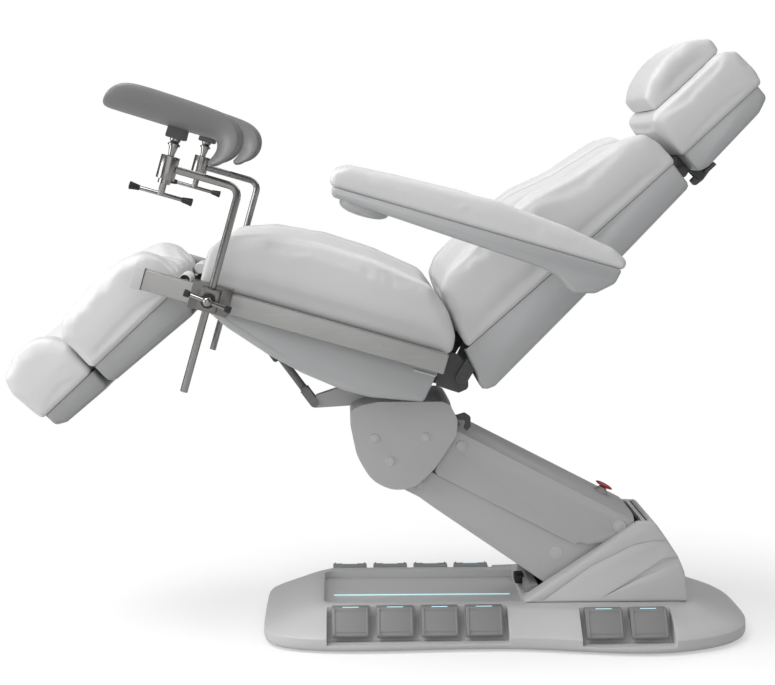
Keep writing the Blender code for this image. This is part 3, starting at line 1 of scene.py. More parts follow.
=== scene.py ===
"""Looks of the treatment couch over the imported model.

Upholstery, moulded covers, steel and light strips.
"""

from math import atan2, cos, pi, radians, sin, tan

import bpy
from mathutils import Matrix, Vector


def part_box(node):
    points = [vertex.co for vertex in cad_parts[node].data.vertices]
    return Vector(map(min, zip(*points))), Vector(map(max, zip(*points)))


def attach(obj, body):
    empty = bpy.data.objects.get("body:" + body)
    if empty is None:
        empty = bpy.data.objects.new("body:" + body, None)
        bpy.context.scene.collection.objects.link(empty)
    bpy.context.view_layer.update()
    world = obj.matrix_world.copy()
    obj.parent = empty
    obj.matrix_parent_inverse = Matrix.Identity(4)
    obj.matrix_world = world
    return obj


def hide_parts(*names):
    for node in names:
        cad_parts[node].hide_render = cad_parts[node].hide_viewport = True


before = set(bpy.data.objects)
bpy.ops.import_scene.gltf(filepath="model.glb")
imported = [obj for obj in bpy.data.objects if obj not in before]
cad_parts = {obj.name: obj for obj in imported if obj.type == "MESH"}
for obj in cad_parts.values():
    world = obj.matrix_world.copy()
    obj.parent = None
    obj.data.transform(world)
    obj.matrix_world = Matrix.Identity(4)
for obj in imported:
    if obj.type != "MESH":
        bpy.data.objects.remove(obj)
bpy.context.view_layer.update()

# Where each section's own frame lies: hinge and turn about Y, as in the model
SECTIONS = {
    "world": ((0.0, 0.0, 0.0), 0.0),
    "lower_arm": ((0.390, 0.0, 0.186), 27.3),
    "upper_arm": ((0.534, 0.0, 0.250), 27.3),
    "lift_head": ((0.02389, 0.0, 0.374964), 0.0),
    "seat": ((0.03989, 0.0, 0.561964), 16.0),
    "back": ((0.159579, 0.0, 0.612948), -41.5),
    "leg": ((-0.429371, 0.0, 0.811995), -43.0),
    "foot": ((-0.63415, 0.0, 0.621036), -43.0),
    "head": ((0.66645, 0.0, 1.058718), -43.0),
    "arm": ((0.388556, 0.0, 0.852914), 16.0),
    "crutch": ((-0.4515, 0.0, 1.0940), 16.0),
}
SIDES = (("left", -1), ("right", 1))

# Faces across the width, in metres from the middle
ARM_FACE = 0.0915
HOOD_FACE = 0.0985
CHEEK_GAP = 0.1025
CHEEK_FACE = 0.1205
RAIL_INNER = 0.2983
RAIL_OUTER = 0.3183
ROD_LINE = 0.350
ARM_LINE = 0.410
CHEEK_SKIN = CHEEK_FACE + 0.0012

# Seams: the value that the attribute has on one, how far it counts, and the groove
SEAM_ZERO = 0.02
SEAM_REACH = 0.019
GROOVE_HALF = 0.010
GROOVE_DEPTH = 0.0030

# Sewn skins: frames of the simulation, inner pressure, height over which it sets in
CLOTH_FRAMES = 16
CLOTH_PRESSURE = 4.0
CLOTH_EASE = 0.06

# The base's plan: ends, waist and the reach of the waist to either side
BASE_POINTS = 144
BASE_FRONT = -0.285
BASE_REAR = 0.835
WAIST_PLACE = 0.230
WAIST_HALF = 0.2385
FRONT_HALF = 0.250
REAR_HALF = 0.298
FRONT_REACH = 0.360
REAR_REACH = 0.430

# The column's side leans in by this much per metre above the deck
COLUMN_LEAN = 0.139
DECK = 0.0853

# Camera fitted to the photograph
CAMERA_PLACE = (-0.097, -3.466, 1.091)
CAMERA_TURN = 1.64
CAMERA_DIP = 7.0
CAMERA_LENS = 69.9


def placed(section):
    """The matrix from a section's frame to the world."""
    origin, turn = SECTIONS[section]
    return Matrix.Translation(origin) @ Matrix.Rotation(radians(turn), 4, "Y")


class Tap:
    """A node's output with arithmetic: an expression on taps adds its Math nodes."""

    def __init__(self, recipe, socket):
        self.recipe = recipe
        self.socket = socket

    def math(self, operation, *values):
        return self.recipe.node("ShaderNodeMath", {"operation": operation}, *values)

    def __add__(self, other):
        return self.math("ADD", self, other)

    def __radd__(self, other):
        return self.math("ADD", other, self)

    def __sub__(self, other):
        return self.math("SUBTRACT", self, other)

    def __rsub__(self, other):
        return self.math("SUBTRACT", other, self)

    def __mul__(self, other):
        return self.math("MULTIPLY", self, other)

    def __truediv__(self, other):
        return self.math("DIVIDE", self, other)

    def __abs__(self):
        return self.math("ABSOLUTE", self)

    def clamp(self, low=0.0, high=1.0):
        return self.math("MINIMUM", self.math("MAXIMUM", self, low), high)

    def near(self, place, reach):
        """1 where the value is at a place, 0 from a reach away."""
        return (1.0 - abs(self - place) / reach).clamp()


class Recipe:
    """A material under construction."""

    def __init__(self, name):
        self.material = bpy.data.materials.new(name)
        self.material.use_nodes = True
        self.tree = self.material.node_tree
        self.tree.nodes.clear()

    def node(self, kind, settings=None, *values, out=0, **named):
        """Adds a node, sets its settings, fills its sockets and returns one output."""
        made = self.tree.nodes.new(kind)
        for key, value in (settings or {}).items():
            setattr(made, key, value)
        filled = [(made.inputs[index], value) for index, value in enumerate(values)]
        filled += [(made.inputs[key.replace("_", " ")], value) for key, value in named.items()]
        for socket, value in filled:
            if isinstance(value, Tap):
                self.tree.links.new(value.socket, socket)
            elif value is not None:
                socket.default_value = value
        return Tap(self, made.outputs[out]) if len(made.outputs) else None

    def place(self, scale=(1.0, 1.0, 1.0)):
        """Object coordinates, drawn out or pressed together."""
        where = self.node("ShaderNodeTexCoord", out="Object")
        return self.node("ShaderNodeMapping", None, Vector=where, Scale=scale)

    def noise(self, scale, detail=3.0, roughness=0.5, where=None):
        where = where or self.place()
        return self.node(
            "ShaderNodeTexNoise", None, Vector=where, Scale=scale, Detail=detail,
            Roughness=roughness,
            out="Fac",
        )

    def mix(self, share, first, second):
        """A colour between two colours."""
        made = self.tree.nodes.new("ShaderNodeMix")
        made.data_type = "RGBA"
        for socket, value in zip((made.inputs[0], made.inputs[6], made.inputs[7]),
                                 (share, first, second)):
            if isinstance(value, Tap):
                self.tree.links.new(value.socket, socket)
            else:
                socket.default_value = value
        return Tap(self, made.outputs[2])

    def bump(self, height, strength, distance, under=None):
        return self.node(
            "ShaderNodeBump", None, Height=height, Strength=strength, Distance=distance,
            Normal=under
        )

    def edge_wear_and_highlight(self, gain=9.0):
        """1 along the sharp outer edges: the mask for edge wear and for painted edge highlights.
        """
        edge = self.node("ShaderNodeNewGeometry", out="Pointiness")
        return ((edge - 0.515) * gain).clamp()

    def finish(self, **sockets):
        """Closes the recipe with a Principled shader."""
        shader = self.node("ShaderNodeBsdfPrincipled", None, **sockets)
        self.node("ShaderNodeOutputMaterial", None, Surface=shader)
        return self.material


def grey(value, warm=0.0):
    """A linear grey with a little warmth (red up, blue down)."""
    return (value * (1 + warm), value, value * (1 - warm), 1.0)


def artificial_leather(name, tone):
    """Pale coated fabric: pebble grain, soft creases, sewn seams with stitches, a slight gloss and
    a painted highlight along its sharp edges.
    """
    recipe = Recipe(name)
    grain = recipe.node(
        "ShaderNodeTexVoronoi", {"feature": "SMOOTH_F1"}, Vector=recipe.place(), Scale=620.0,
        Smoothness=0.6, out="Distance",
    )
    crease = recipe.noise(34.0, 4.0, 0.55)
    cloud = recipe.noise(5.0, 2.0, 0.5)
    colour = recipe.mix((cloud - 0.35).clamp() * 0.5, grey(tone), grey(tone * 0.95, -0.006))
    colour = recipe.mix((grain * 0.10).clamp(), colour, grey(tone * 0.86))
    gap = recipe.node("ShaderNodeAttribute", {"attribute_name": "seam_gap"}, out="Fac")
    run = recipe.node("ShaderNodeAttribute", {"attribute_name": "seam_run"}, out="Fac")
    seam = gap.near(SEAM_ZERO, 0.0016)
    stitch = (run * 900.0).math("SINE", run * 900.0) * 3.0
    thread = (abs(gap - SEAM_ZERO).near(0.0042, 0.0009) * stitch.clamp()).clamp()
    colour = recipe.mix(seam * 0.72, colour, grey(tone * 0.16))
    colour = recipe.mix(thread * 0.5, colour, grey(tone * 0.55))
    # Painted highlight: the leather is lighter along its sharp edges, where the top light grazes
    # them.
    colour = recipe.mix(recipe.edge_wear_and_highlight(7.0) * 0.55, colour, grey(0.90))
    soft = recipe.bump(crease, 0.10, 0.002)
    sewn = recipe.bump(thread - seam * 2.0, 0.5, 0.0008, soft)
    normal = recipe.bump(grain, 0.22, 0.0004, sewn)
    return recipe.finish(
        Base_Color=colour, Roughness=(0.40 + crease * 0.14), Normal=normal,
        Specular_IOR_Level=0.42,
    )


def moulded(name, tone, warm=0.0, roughness=0.38, texture=0.12, wear=0.10):
    """Painted or moulded cover: orange peel, slight clouding, handling marks and paler edges."""
    recipe = Recipe(name)
    peel = recipe.noise(900.0, 2.0, 0.5)
    cloud = recipe.noise(7.0, 3.0, 0.55)
    marks = recipe.noise(60.0, 5.0, 0.65)
    colour = recipe.mix((cloud - 0.3).clamp() * 0.6, grey(tone, warm), grey(tone * 0.95, warm))
    colour = recipe.mix(recipe.edge_wear_and_highlight() * wear, colour, grey(min(0.9, tone * 1.7 + 0.02), warm))
    rough = roughness + (marks - 0.5) * 0.10 + (peel - 0.5) * 0.04
    return recipe.finish(
        Base_Color=colour, Roughness=rough, Normal=recipe.bump(peel, texture, 0.0005),
        Specular_IOR_Level=0.45,
    )


def steel(name, tone, along, roughness, warm=0.02, metal=1.0):
    """Brushed or drawn metal: fine lines along the part and slight stains."""
    recipe = Recipe(name)
    lines = recipe.noise(260.0, 3.0, 0.6, recipe.place(scale=along))
    stain = recipe.noise(16.0, 3.0, 0.5)
    colour = recipe.mix(lines * 0.4, grey(tone, warm), grey(tone * 0.66, warm))
    colour = recipe.mix((stain - 0.45).clamp() * 0.6, colour, grey(tone * 0.7, warm))
    rough = roughness + (lines - 0.5) * 0.16 + (stain - 0.5) * 0.08
    return recipe.finish(
        Base_Color=colour, Metallic=metal, Roughness=rough,
        Normal=recipe.bump(lines, 0.08, 0.0003),
    )


def light_guide(name, colour, strength):
    """A lit strip with a slight ripple in its colour."""
    recipe = Recipe(name)
    ripple = recipe.noise(120.0, 1.0, 0.5)
    shade = recipe.mix(ripple * 0.3, (*colour, 1.0), (1.0, 1.0, 1.0, 1.0))
    return recipe.finish(
        Base_Color=shade, Roughness=0.3, Emission_Color=shade, Emission_Strength=strength,
    )


def signal_red():
    """Bright red plastic, duller in patches."""
    recipe = Recipe("stop_red")
    wear = recipe.noise(220.0, 3.0, 0.6)
    colour = recipe.mix((wear - 0.45).clamp(), (0.42, 0.012, 0.025, 1.0),
                        (0.30, 0.010, 0.020, 1.0))
    return recipe.finish(
        Base_Color=colour, Roughness=0.26 + wear * 0.12, Normal=recipe.bump(wear, 0.08, 0.0004)
    )


LEATHER = artificial_leather("upholstery", 0.60)
SHELL = moulded("shell_plastic", 0.40, -0.012, roughness=0.34)
# Painted shade: a darker copy of the shell plastic for the leg and foot shells, whose faces lie in
# shade.
SHELL_PAINTED_SHADE = moulded("shell_plastic_painted_shade", 0.29, -0.008, roughness=0.36)
PAINT = moulded("lift_paint", 0.45, 0.0, roughness=0.42)
COVER = moulded("base_plastic", 0.53, 0.0, roughness=0.40)
PEDAL = moulded("pedal_plastic", 0.235, 0.0, roughness=0.5, texture=0.25, wear=0.25)
DARK = moulded("dark_paint", 0.055, 0.0, roughness=0.45, wear=0.3)
BLACK = moulded("black_rubber", 0.012, 0.0, roughness=0.6, texture=0.3)
FOAM = moulded("crutch_skin", 0.175, 0.0, roughness=0.42, texture=0.35, wear=0.0)
CAP = moulded("cap_plastic", 0.50, 0.0, roughness=0.3)
LEVER = moulded("lever_grip", 0.11, 0.0, roughness=0.6, texture=0.6)
BRIGHT = steel("bright_steel", 0.31, (1.0, 1.0, 0.08), roughness=0.24)
RAIL = steel("rail_metal", 0.38, (0.06, 1.0, 1.0), roughness=0.38, warm=0.01, metal=0.45)
PLATE = steel("clamp_plate", 0.20, (0.3, 1.0, 1.0), roughness=0.34, warm=0.03)
LINK = moulded("link_paint", 0.16, 0.0, roughness=0.4, wear=0.3)
STRIP = light_guide("light_strip", (0.52, 0.90, 0.98), 0.42)
RED = signal_red()


def only(obj):
    """Makes an object the only selected one."""
    bpy.ops.object.select_all(action="DESELECT")
    obj.select_set(True)
    bpy.context.view_layer.objects.active = obj


def modifier(obj, kind, **settings):
    """Adds a modifier and applies it."""
    made = obj.modifiers.new(kind.lower(), kind)
    for key, value in settings.items():
        setattr(made, key, value)
    only(obj)
    bpy.ops.object.modifier_apply(modifier=made.name)


def dress(obj, body, finish, replaces=(), smooth=35.0):
    """Gives a piece its finish, shading and body."""
    obj.data.materials.clear()
    obj.data.materials.append(finish)
    only(obj)
    bpy.ops.object.transform_apply(location=True, rotation=True, scale=True)
    if smooth is None:
        bpy.ops.object.shade_smooth()
    else:
        bpy.ops.object.shade_smooth_by_angle(angle=radians(smooth))
    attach(obj, body)
    if replaces:
        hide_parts(*replaces)


def merged_copy(node, name):
    """A welded copy of a CAD node, with flat areas joined up again."""
    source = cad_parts[node]
    made = bpy.data.objects.new(name, source.data.copy())
    bpy.context.scene.collection.objects.link(made)
    only(made)
    bpy.ops.object.mode_set(mode="EDIT")
    bpy.ops.mesh.select_all(action="SELECT")
    bpy.ops.mesh.remove_doubles(threshold=0.00003)
    bpy.ops.mesh.dissolve_limited(angle_limit=radians(1.0))
    bpy.ops.object.mode_set(mode="OBJECT")
    return made


def break_edges(obj, width, segments=3, angle=30.0):
    """Rounds the edges that are sharper than an angle and keeps flat faces flat."""
    modifier(
        obj, "BEVEL", width=width, segments=segments, limit_method="ANGLE",
        angle_limit=radians(angle),
        use_clamp_overlap=True, harden_normals=False,
    )


def eased(node, name, body, finish, width, segments=3):
    """A CAD node with its edges broken, which stands for the node."""
    made = merged_copy(node, name)
    break_edges(made, width, segments)
    dress(made, body, finish, (node,), 40.0)


def rounded(corners, steps=6):
    """An outline in which each (a, b, radius) corner is an arc."""
    points = []
    for index, corner in enumerate(corners):
        here = Vector(corner[:2])
        before = Vector(corners[index - 1][:2]) - here
        after = Vector(corners[(index + 1) % len(corners)][:2]) - here
        radius = corner[2] if len(corner) > 2 else 0.0
        if radius <= 0.0:
            points.append(tuple(here))
            continue
        half = before.angle(after) / 2
        reach = min(radius / tan(half), 0.48 * min(before.length, after.length))
        radius = reach * tan(half)
        start = here + before.normalized() * reach
        end = here + after.normalized() * reach
        inward = (before.normalized() + after.normalized()).normalized()
        centre = here + inward * radius / sin(half)
        first = atan2(start.y - centre.y, start.x - centre.x)
        last = atan2(end.y - centre.y, end.x - centre.x)
        sweep = (last - first + pi) % (2 * pi) - pi
        for step in range(steps + 1):
            turn = first + sweep * step / steps
            points.append((centre.x + radius * cos(turn), centre.y + radius * sin(turn)))
    return points


def relaxed(outline, spacing, rounds, grow, top):
    """An outline walked in even steps, smoothed, moved out a little and kept below a height."""
    corners = [Vector(point) for point in outline]
    points = []
    for start, end in zip(corners, corners[1:] + corners[:1]):
        steps = max(1, round((end - start).length / spacing))
        points += [start.lerp(end, step / steps) for step in range(steps)]
    for _ in range(rounds):
        points = [
            (points[index - 1] + point * 2 + points[(index + 1) % len(points)]) / 4
            for index, point in enumerate(points)
        ]
    middle = sum(points, Vector((0.0, 0.0))) / len(points)
    moved = []
    for index, point in enumerate(points):
        along = points[(index + 1) % len(points)] - points[index - 1]
        out = Vector((along.y, -along.x)).normalized()
        if out.dot(point - middle) < 0:
            out = -out
        moved.append((point.x + out.x * grow, min(top, point.y + out.y * grow)))
    return moved


def face_outward():
    """Turns every face of the piece in edit mode outwards."""
    bpy.ops.mesh.select_all(action="SELECT")
    bpy.ops.mesh.normals_make_consistent(inside=False)


def turn_outward(obj):
    """Turns every face of a piece outwards."""
    only(obj)
    bpy.ops.object.mode_set(mode="EDIT")
    face_outward()
    bpy.ops.object.mode_set(mode="OBJECT")


def blank(name, outline, low, high, section="world", plan=False):
    """A disc drawn to an outline and pulled out to a width: the start of a shaped piece.

    The outline is seen from the side, or from above where plan is set.
    """
    bpy.ops.object.select_all(action="DESELECT")
    bpy.ops.mesh.primitive_circle_add(vertices=len(outline), radius=0.1, fill_type="NGON")
    made = bpy.context.view_layer.objects.active
    made.name = made.data.name = name
    for vertex, (a, b) in zip(made.data.vertices, outline):
        vertex.co = (a, b, low) if plan else (a, low, b)
    pull = (0.0, 0.0, high - low) if plan else (0.0, high - low, 0.0)
    bpy.ops.object.mode_set(mode="EDIT")
    bpy.ops.mesh.select_all(action="SELECT")
    bpy.ops.mesh.extrude_region_move(TRANSFORM_OT_translate={"value": pull})
    face_outward()
    bpy.ops.object.mode_set(mode="OBJECT")
    made.data.transform(placed(section))
    return made


def turned(name, profile, place=(0.0, 0.0, 0.0), along=(0.0, 0.0, 1.0), sides=32, section="world"):
    """A lathe piece: a disc pulled out and scaled through (radius, height) steps."""
    radius, height = profile[0]
    bpy.ops.object.select_all(action="DESELECT")
    bpy.ops.mesh.primitive_circle_add(vertices=sides, radius=radius, fill_type="NGON")
    made = bpy.context.view_layer.objects.active
    made.name = made.data.name = name
    made.data.transform(Matrix.Translation((0.0, 0.0, height)))
    bpy.ops.object.mode_set(mode="EDIT")
    bpy.ops.mesh.select_all(action="SELECT")
    for (before, low), (after, high) in zip(profile, profile[1:]):
        bpy.ops.mesh.extrude_region_move(TRANSFORM_OT_translate={"value": (0.0, 0.0, high - low)})
        grow = after / before
        bpy.ops.transform.resize(value=(grow, grow, 1.0), center_override=(0.0, 0.0, high))
    face_outward()
    bpy.ops.object.mode_set(mode="OBJECT")
    turn = Vector((0.0, 0.0, 1.0)).rotation_difference(Vector(along)).to_matrix().to_4x4()
    made.data.transform(placed(section) @ Matrix.Translation(place) @ turn)
    return made


def cut_away(obj, *cutters):
    """Takes cutters out of a piece and drops them."""
    for cutter in cutters:
        modifier(obj, "BOOLEAN", operation="DIFFERENCE", solver="EXACT", object=cutter)
        bpy.data.objects.remove(cutter)


def span(sign, inner, outer):
    """The low and high ends of a stretch across one side of the couch."""
    return (inner, outer) if sign > 0 else (-outer, -inner)


def swell(obj, cap, floor):
    """Blows a closed skin up as sewn cloth, keeps it flat where it rests, and caps each move."""
    cloth = obj.modifiers.new("cloth", "CLOTH")
    cloth.settings.quality = 4
    cloth.settings.mass = 0.3
    cloth.settings.tension_stiffness = 12.0
    cloth.settings.compression_stiffness = 12.0
    cloth.settings.shear_stiffness = 6.0
    cloth.settings.bending_stiffness = 1.5
    cloth.settings.use_pressure = True
    cloth.settings.uniform_pressure_force = CLOTH_PRESSURE
    cloth.settings.effector_weights.gravity = 0.0
    cloth.collision_settings.use_collision = False
    cloth.point_cache.frame_start = 1
    cloth.point_cache.frame_end = CLOTH_FRAMES
    for step in range(1, CLOTH_FRAMES + 1):
        bpy.context.scene.frame_set(step)
    graph = bpy.context.evaluated_depsgraph_get()
    blown = obj.evaluated_get(graph).to_mesh()
    moves = []
    for before, after in zip(obj.data.vertices, blown.vertices):
        move = after.co - before.co
        if move.length > cap:
            move *= cap / move.length
        moves.append(move * min(1.0, max(0.0, (before.co.z - floor) / CLOTH_EASE)))
    obj.modifiers.clear()
    for vertex, move in zip(obj.data.vertices, moves):
        vertex.co += move
    bpy.context.scene.frame_set(1)


def sew(obj, seams, floor):
    """Sinks the seams that run along the pad and records how far each point lies from one."""
    gap = obj.data.attributes.new("seam_gap", "FLOAT", "POINT")
    run = obj.data.attributes.new("seam_run", "FLOAT", "POINT")
    normals = [vertex.normal.copy() for vertex in obj.data.vertices]
    for index, vertex in enumerate(obj.data.vertices):
        x, y, z = vertex.co
        off = min([abs(y) - seam(x) for seam in seams], key=abs)
        if z < floor + 0.03 or abs(off) > SEAM_REACH:
            off = SEAM_REACH if off > 0 else -SEAM_REACH
        gap.data[index].value = SEAM_ZERO + off
        run.data[index].value = x
        if abs(off) < GROOVE_HALF:
            share = 1.0 - abs(off) / GROOVE_HALF
            vertex.co -= normals[index] * GROOVE_DEPTH * share * share * (3 - 2 * share)


def upholster(node, body, section, outline, half, edge, floor, shape=None, seams=(), voxel=0.006,
              cap=0.008,
              centre=0.0):
    """A sewn cushion: outline, soft edges, shaping, cloth pressure, smoothing and seams."""
    made = blank(node + "_cover", rounded(outline), -half, half)
    modifier(made, "BEVEL", width=edge, segments=4, limit_method="ANGLE", angle_limit=radians(40),
             use_clamp_overlap=False)
    modifier(made, "REMESH", mode="VOXEL", voxel_size=voxel * 1.0,
             adaptivity=0.0)
    if shape:
        for vertex in made.data.vertices:
            vertex.co = shape(*vertex.co)
    swell(made, cap, floor)
    modifier(made, "SMOOTH", factor=0.5, iterations=2)
    modifier(made, "DISPLACE", strength=0.0016, mid_level=0.0)
    modifier(made, "SUBSURF", levels=1, render_levels=1)
    if seams:
        sew(made, seams, floor)
    made.data.transform(placed(section) @ Matrix.Translation((0.0, centre, 0.0)))
    dress(made, body, LEATHER, (node,), None)
    return made


def rise(value, low, high):
    """Smoothly 0 below low and 1 above high."""
    share = min(1.0, max(0.0, (value - low) / (high - low)))
    return share * share * (3 - 2 * share)


def dished(depth, inner, outer, floor, height, along=None):
    """A shaping rule: the middle of the top lies lower than the sides."""
    def shape(x, y, z):
        lift = rise(z, floor, floor + height)
        amount = depth if along is None else depth * along(x)
        return x, y, z - amount * (1 - rise(abs(y), inner, outer)) * lift
    return shape


def seat_upholstery():
    """The seat cushion, with a shallow trough between its sides."""
    upholster("seat_cushion", "seat", "seat", [
        (-0.499, 0.1303), (-0.503, 0.200, 0.04), (-0.481, 0.234, 0.035), (-0.394, 0.266, 0.1),
        (-0.278, 0.279, 0.15), (-0.154, 0.276, 0.12), (-0.024, 0.256, 0.03), (0.028, 0.214, 0.04),
        (0.056, 0.168, 0.03), (0.058, 0.140, 0.01), (0.052, 0.1303),
    ], 0.275, 0.008, 0.1303, dished(0.012, 0.10, 0.26, 0.20, 0.06), (lambda x: 0.190,), cap=0.004)


def back_upholstery():
    """The back cushion: raised sides, a lower middle, narrower towards the head."""
    def narrowing(x):
        return 1.0 - 0.14 * max(0.0, (x - 0.30) / 0.35)

    dish = dished(0.026, 0.09, 0.20, 0.09, 0.06, lambda x: 0.35 + 0.65 * rise(x, 0.20, 0.42))

    def shape(x, y, z):
        return dish(x, y * narrowing(x), z)

    upholster("back_cushion", "back", "back", [
        (0.052, 0.0458), (0.068, 0.100, 0.05), (0.091, 0.180, 0.020), (0.123, 0.198, 0.03),
        (0.230, 0.208, 0.10), (0.370, 0.202, 0.12), (0.465, 0.176, 0.10), (0.600, 0.156, 0.06),
        (0.646, 0.136, 0.014), (0.657, 0.100, 0.02), (0.655, 0.0458),
    ], 0.246, 0.008, 0.0458, shape, (lambda x: 0.160 * narrowing(x),), cap=0.004)


def leg_upholstery():
    """The calf and foot pads, which are deep troughs between rolled sides."""
    upholster("leg_cushion", "leg", "leg", [
        (-0.276, 0.018), (-0.277, 0.112, 0.02), (-0.252, 0.137, 0.03), (-0.155, 0.146, 0.08),
        (-0.076, 0.143, 0.06), (-0.025, 0.127, 0.03), (-0.003, 0.096, 0.03), (0.000, 0.050, 0.02),
        (-0.022, 0.018),
    ], 0.228, 0.010, 0.018, dished(0.034, 0.05, 0.17, 0.05, 0.06),
    (lambda x: 0.152, lambda x: 0.060), cap=0.004)
    upholster("foot_cushion", "foot", "foot", [
        (-0.160, 0.014), (-0.168, 0.096, 0.03), (-0.157, 0.133, 0.025), (-0.104, 0.154, 0.05),
        (-0.052, 0.150, 0.03), (-0.024, 0.129, 0.03), (-0.008, 0.092, 0.02), (-0.007, 0.014),
    ], 0.201, 0.010, 0.014, dished(0.030, 0.05, 0.16, 0.05, 0.06),
    (lambda x: 0.140, lambda x: 0.055), cap=0.004)


def head_upholstery():
    """The head cushion and the pillow strapped to it."""
    upholster("head_cushion", "head", "head", [
        (0.012, 0.0385), (0.011, 0.146, 0.014), (0.228, 0.147, 0.016), (0.250, 0.129, 0.012),
        (0.253, 0.070, 0.04), (0.246, 0.0385),
    ], 0.147, 0.007, 0.0385, None, cap=0.003, voxel=0.005)
    upholster("head_pillow", "head", "head", [
        (0.037, 0.150), (0.037, 0.184, 0.012), (0.069, 0.205, 0.04), (0.127, 0.220, 0.08),
        (0.188, 0.213, 0.05), (0.231, 0.184, 0.012), (0.229, 0.156, 0.006), (0.222, 0.150),
    ], 0.124, 0.008, 0.148, None, cap=0.005, voxel=0.005)
    strap = blank("pillow_strap", rounded([
        (0.041, 0.1435, 0.002), (0.058, 0.1435, 0.002), (0.058, 0.1515, 0.002),
        (0.041, 0.1515, 0.002),
    ], 2), -0.116, 0.116, "head")
    dress(strap, "head", BLACK)


def arm_upholstery():
    """The two armrest pads."""
    for side, sign in SIDES:
        upholster(f"arm_pad_{side}", f"armrest_{side}", "arm", [
            (-0.543, 0.0343), (-0.548, 0.048, 0.006), (-0.546, 0.063, 0.008),
            (-0.522, 0.077, 0.02),
            (-0.409, 0.085, 0.1), (-0.213, 0.093, 0.12), (-0.062, 0.082, 0.1),
            (0.040, 0.067, 0.03),
            (0.072, 0.052, 0.012), (0.073, 0.0343),
        ], 0.046, 0.009, 0.0343, None, (), cap=0.003, voxel=0.005, centre=sign * ARM_LINE)


def base_half(x):
    """Half the base's width at x: an hourglass that is wider at the head end."""
    ahead = x < WAIST_PLACE
    share = (WAIST_PLACE - x) / FRONT_REACH if ahead else (x - WAIST_PLACE) / REAR_REACH
    wide = FRONT_HALF if ahead else REAR_HALF
    share = min(1.0, share)
    return WAIST_HALF + (wide - WAIST_HALF) * share * share * (3 - 2 * share)


def base_point(turn, front, side, rear):
    """A point of the base's plan, drawn in by a cut at the front, the sides and the rear."""
    low, high = BASE_FRONT + front, BASE_REAR - rear
    along = cos(turn)
    power = 3.3 if along > 0 else 6.0
    x = (low + high) / 2 + (high - low) / 2 * along
    rest = max(0.0, 1.0 - abs(along) ** power) ** (1.0 / power)
    return x, (base_half(x) - side) * rest * (1 if sin(turn) >= 0 else -1)


def base_moulding():
    """The moulded base: a disc pulled up and drawn in by levels, with tray and pedal wells."""
    levels = (
        (0.006, 0.005, 0.005, 0.005), (0.009, 0.0015, 0.0015, 0.0015), (0.014, 0.0, 0.0, 0.0),
        (0.033, 0.0008, 0.0008, 0.0008), (0.0382, 0.010, 0.006, 0.010),
        (0.0470, 0.029, 0.016, 0.032), (0.0564, 0.050, 0.028, 0.058),
        (0.0660, 0.072, 0.039, 0.081),
        (0.0746, 0.092, 0.049, 0.100), (0.0810, 0.110, 0.058, 0.120),
        (0.0850, 0.124, 0.064, 0.136),
    )
    bpy.ops.object.select_all(action="DESELECT")
    bpy.ops.mesh.primitive_circle_add(vertices=BASE_POINTS, radius=1.0, fill_type="NGON")
    made = bpy.context.view_layer.objects.active
    made.name = made.data.name = "base_moulding"
    bpy.ops.object.mode_set(mode="EDIT")
    bpy.ops.mesh.select_all(action="SELECT")
    for _ in levels[1:]:
        bpy.ops.mesh.extrude_region_move(TRANSFORM_OT_translate={"value": (0.0, 0.0, 1.0)})
    face_outward()
    bpy.ops.object.mode_set(mode="OBJECT")
    for vertex in made.data.vertices:
        z, front, side, rear = levels[round(vertex.co.z)]
        vertex.co = (*base_point(atan2(vertex.co.y, vertex.co.x), front, side, rear), z)
    tray = blank("tray_cutter", rounded([
        (-0.147, -0.132, 0.024), (0.312, -0.132), (0.312, 0.132), (-0.147, 0.132, 0.024),
    ]), 0.068, 0.1, plan=True)
    cut_away(
        made, tray,
        blank("under_cutter", [(-0.200, -0.130), (0.720, -0.130), (0.720, 0.130), (-0.200, 0.130)],
              -0.02, 0.052,
              plan=True),
        blank("neck_cutter",
              [(0.336, -0.0935), (0.636, -0.0935), (0.636, 0.0935), (0.336, 0.0935)], 0.050, 0.1,
              plan=True),
    )
    for hinge, low, high in ((0.166, -0.1395, 0.2675), (0.194, 0.4265, 0.6335)):
        for side, sign in SIDES:
            wall = hinge - 0.0063
            well = blank(f"well_{side}", [
                (sign * wall, 0.105), (sign * wall, 0.059), (sign * (hinge + 0.040), 0.019),
                (sign * (hinge + 0.088), 0.019), (sign * (hinge + 0.088), 0.105),
            ], low, high)
            well.data.transform(Matrix(((0, 1, 0, 0), (1, 0, 0, 0), (0, 0, 1, 0), (0, 0, 0, 1))))
            turn_outward(well)
            cut_away(made, well)
    break_edges(made, 0.0026, 3, 36)
    modifier(made, "WEIGHTED_NORMAL", keep_sharp=True, weight=80)
    dress(made, "base", COVER, ("base_cover",), 50)


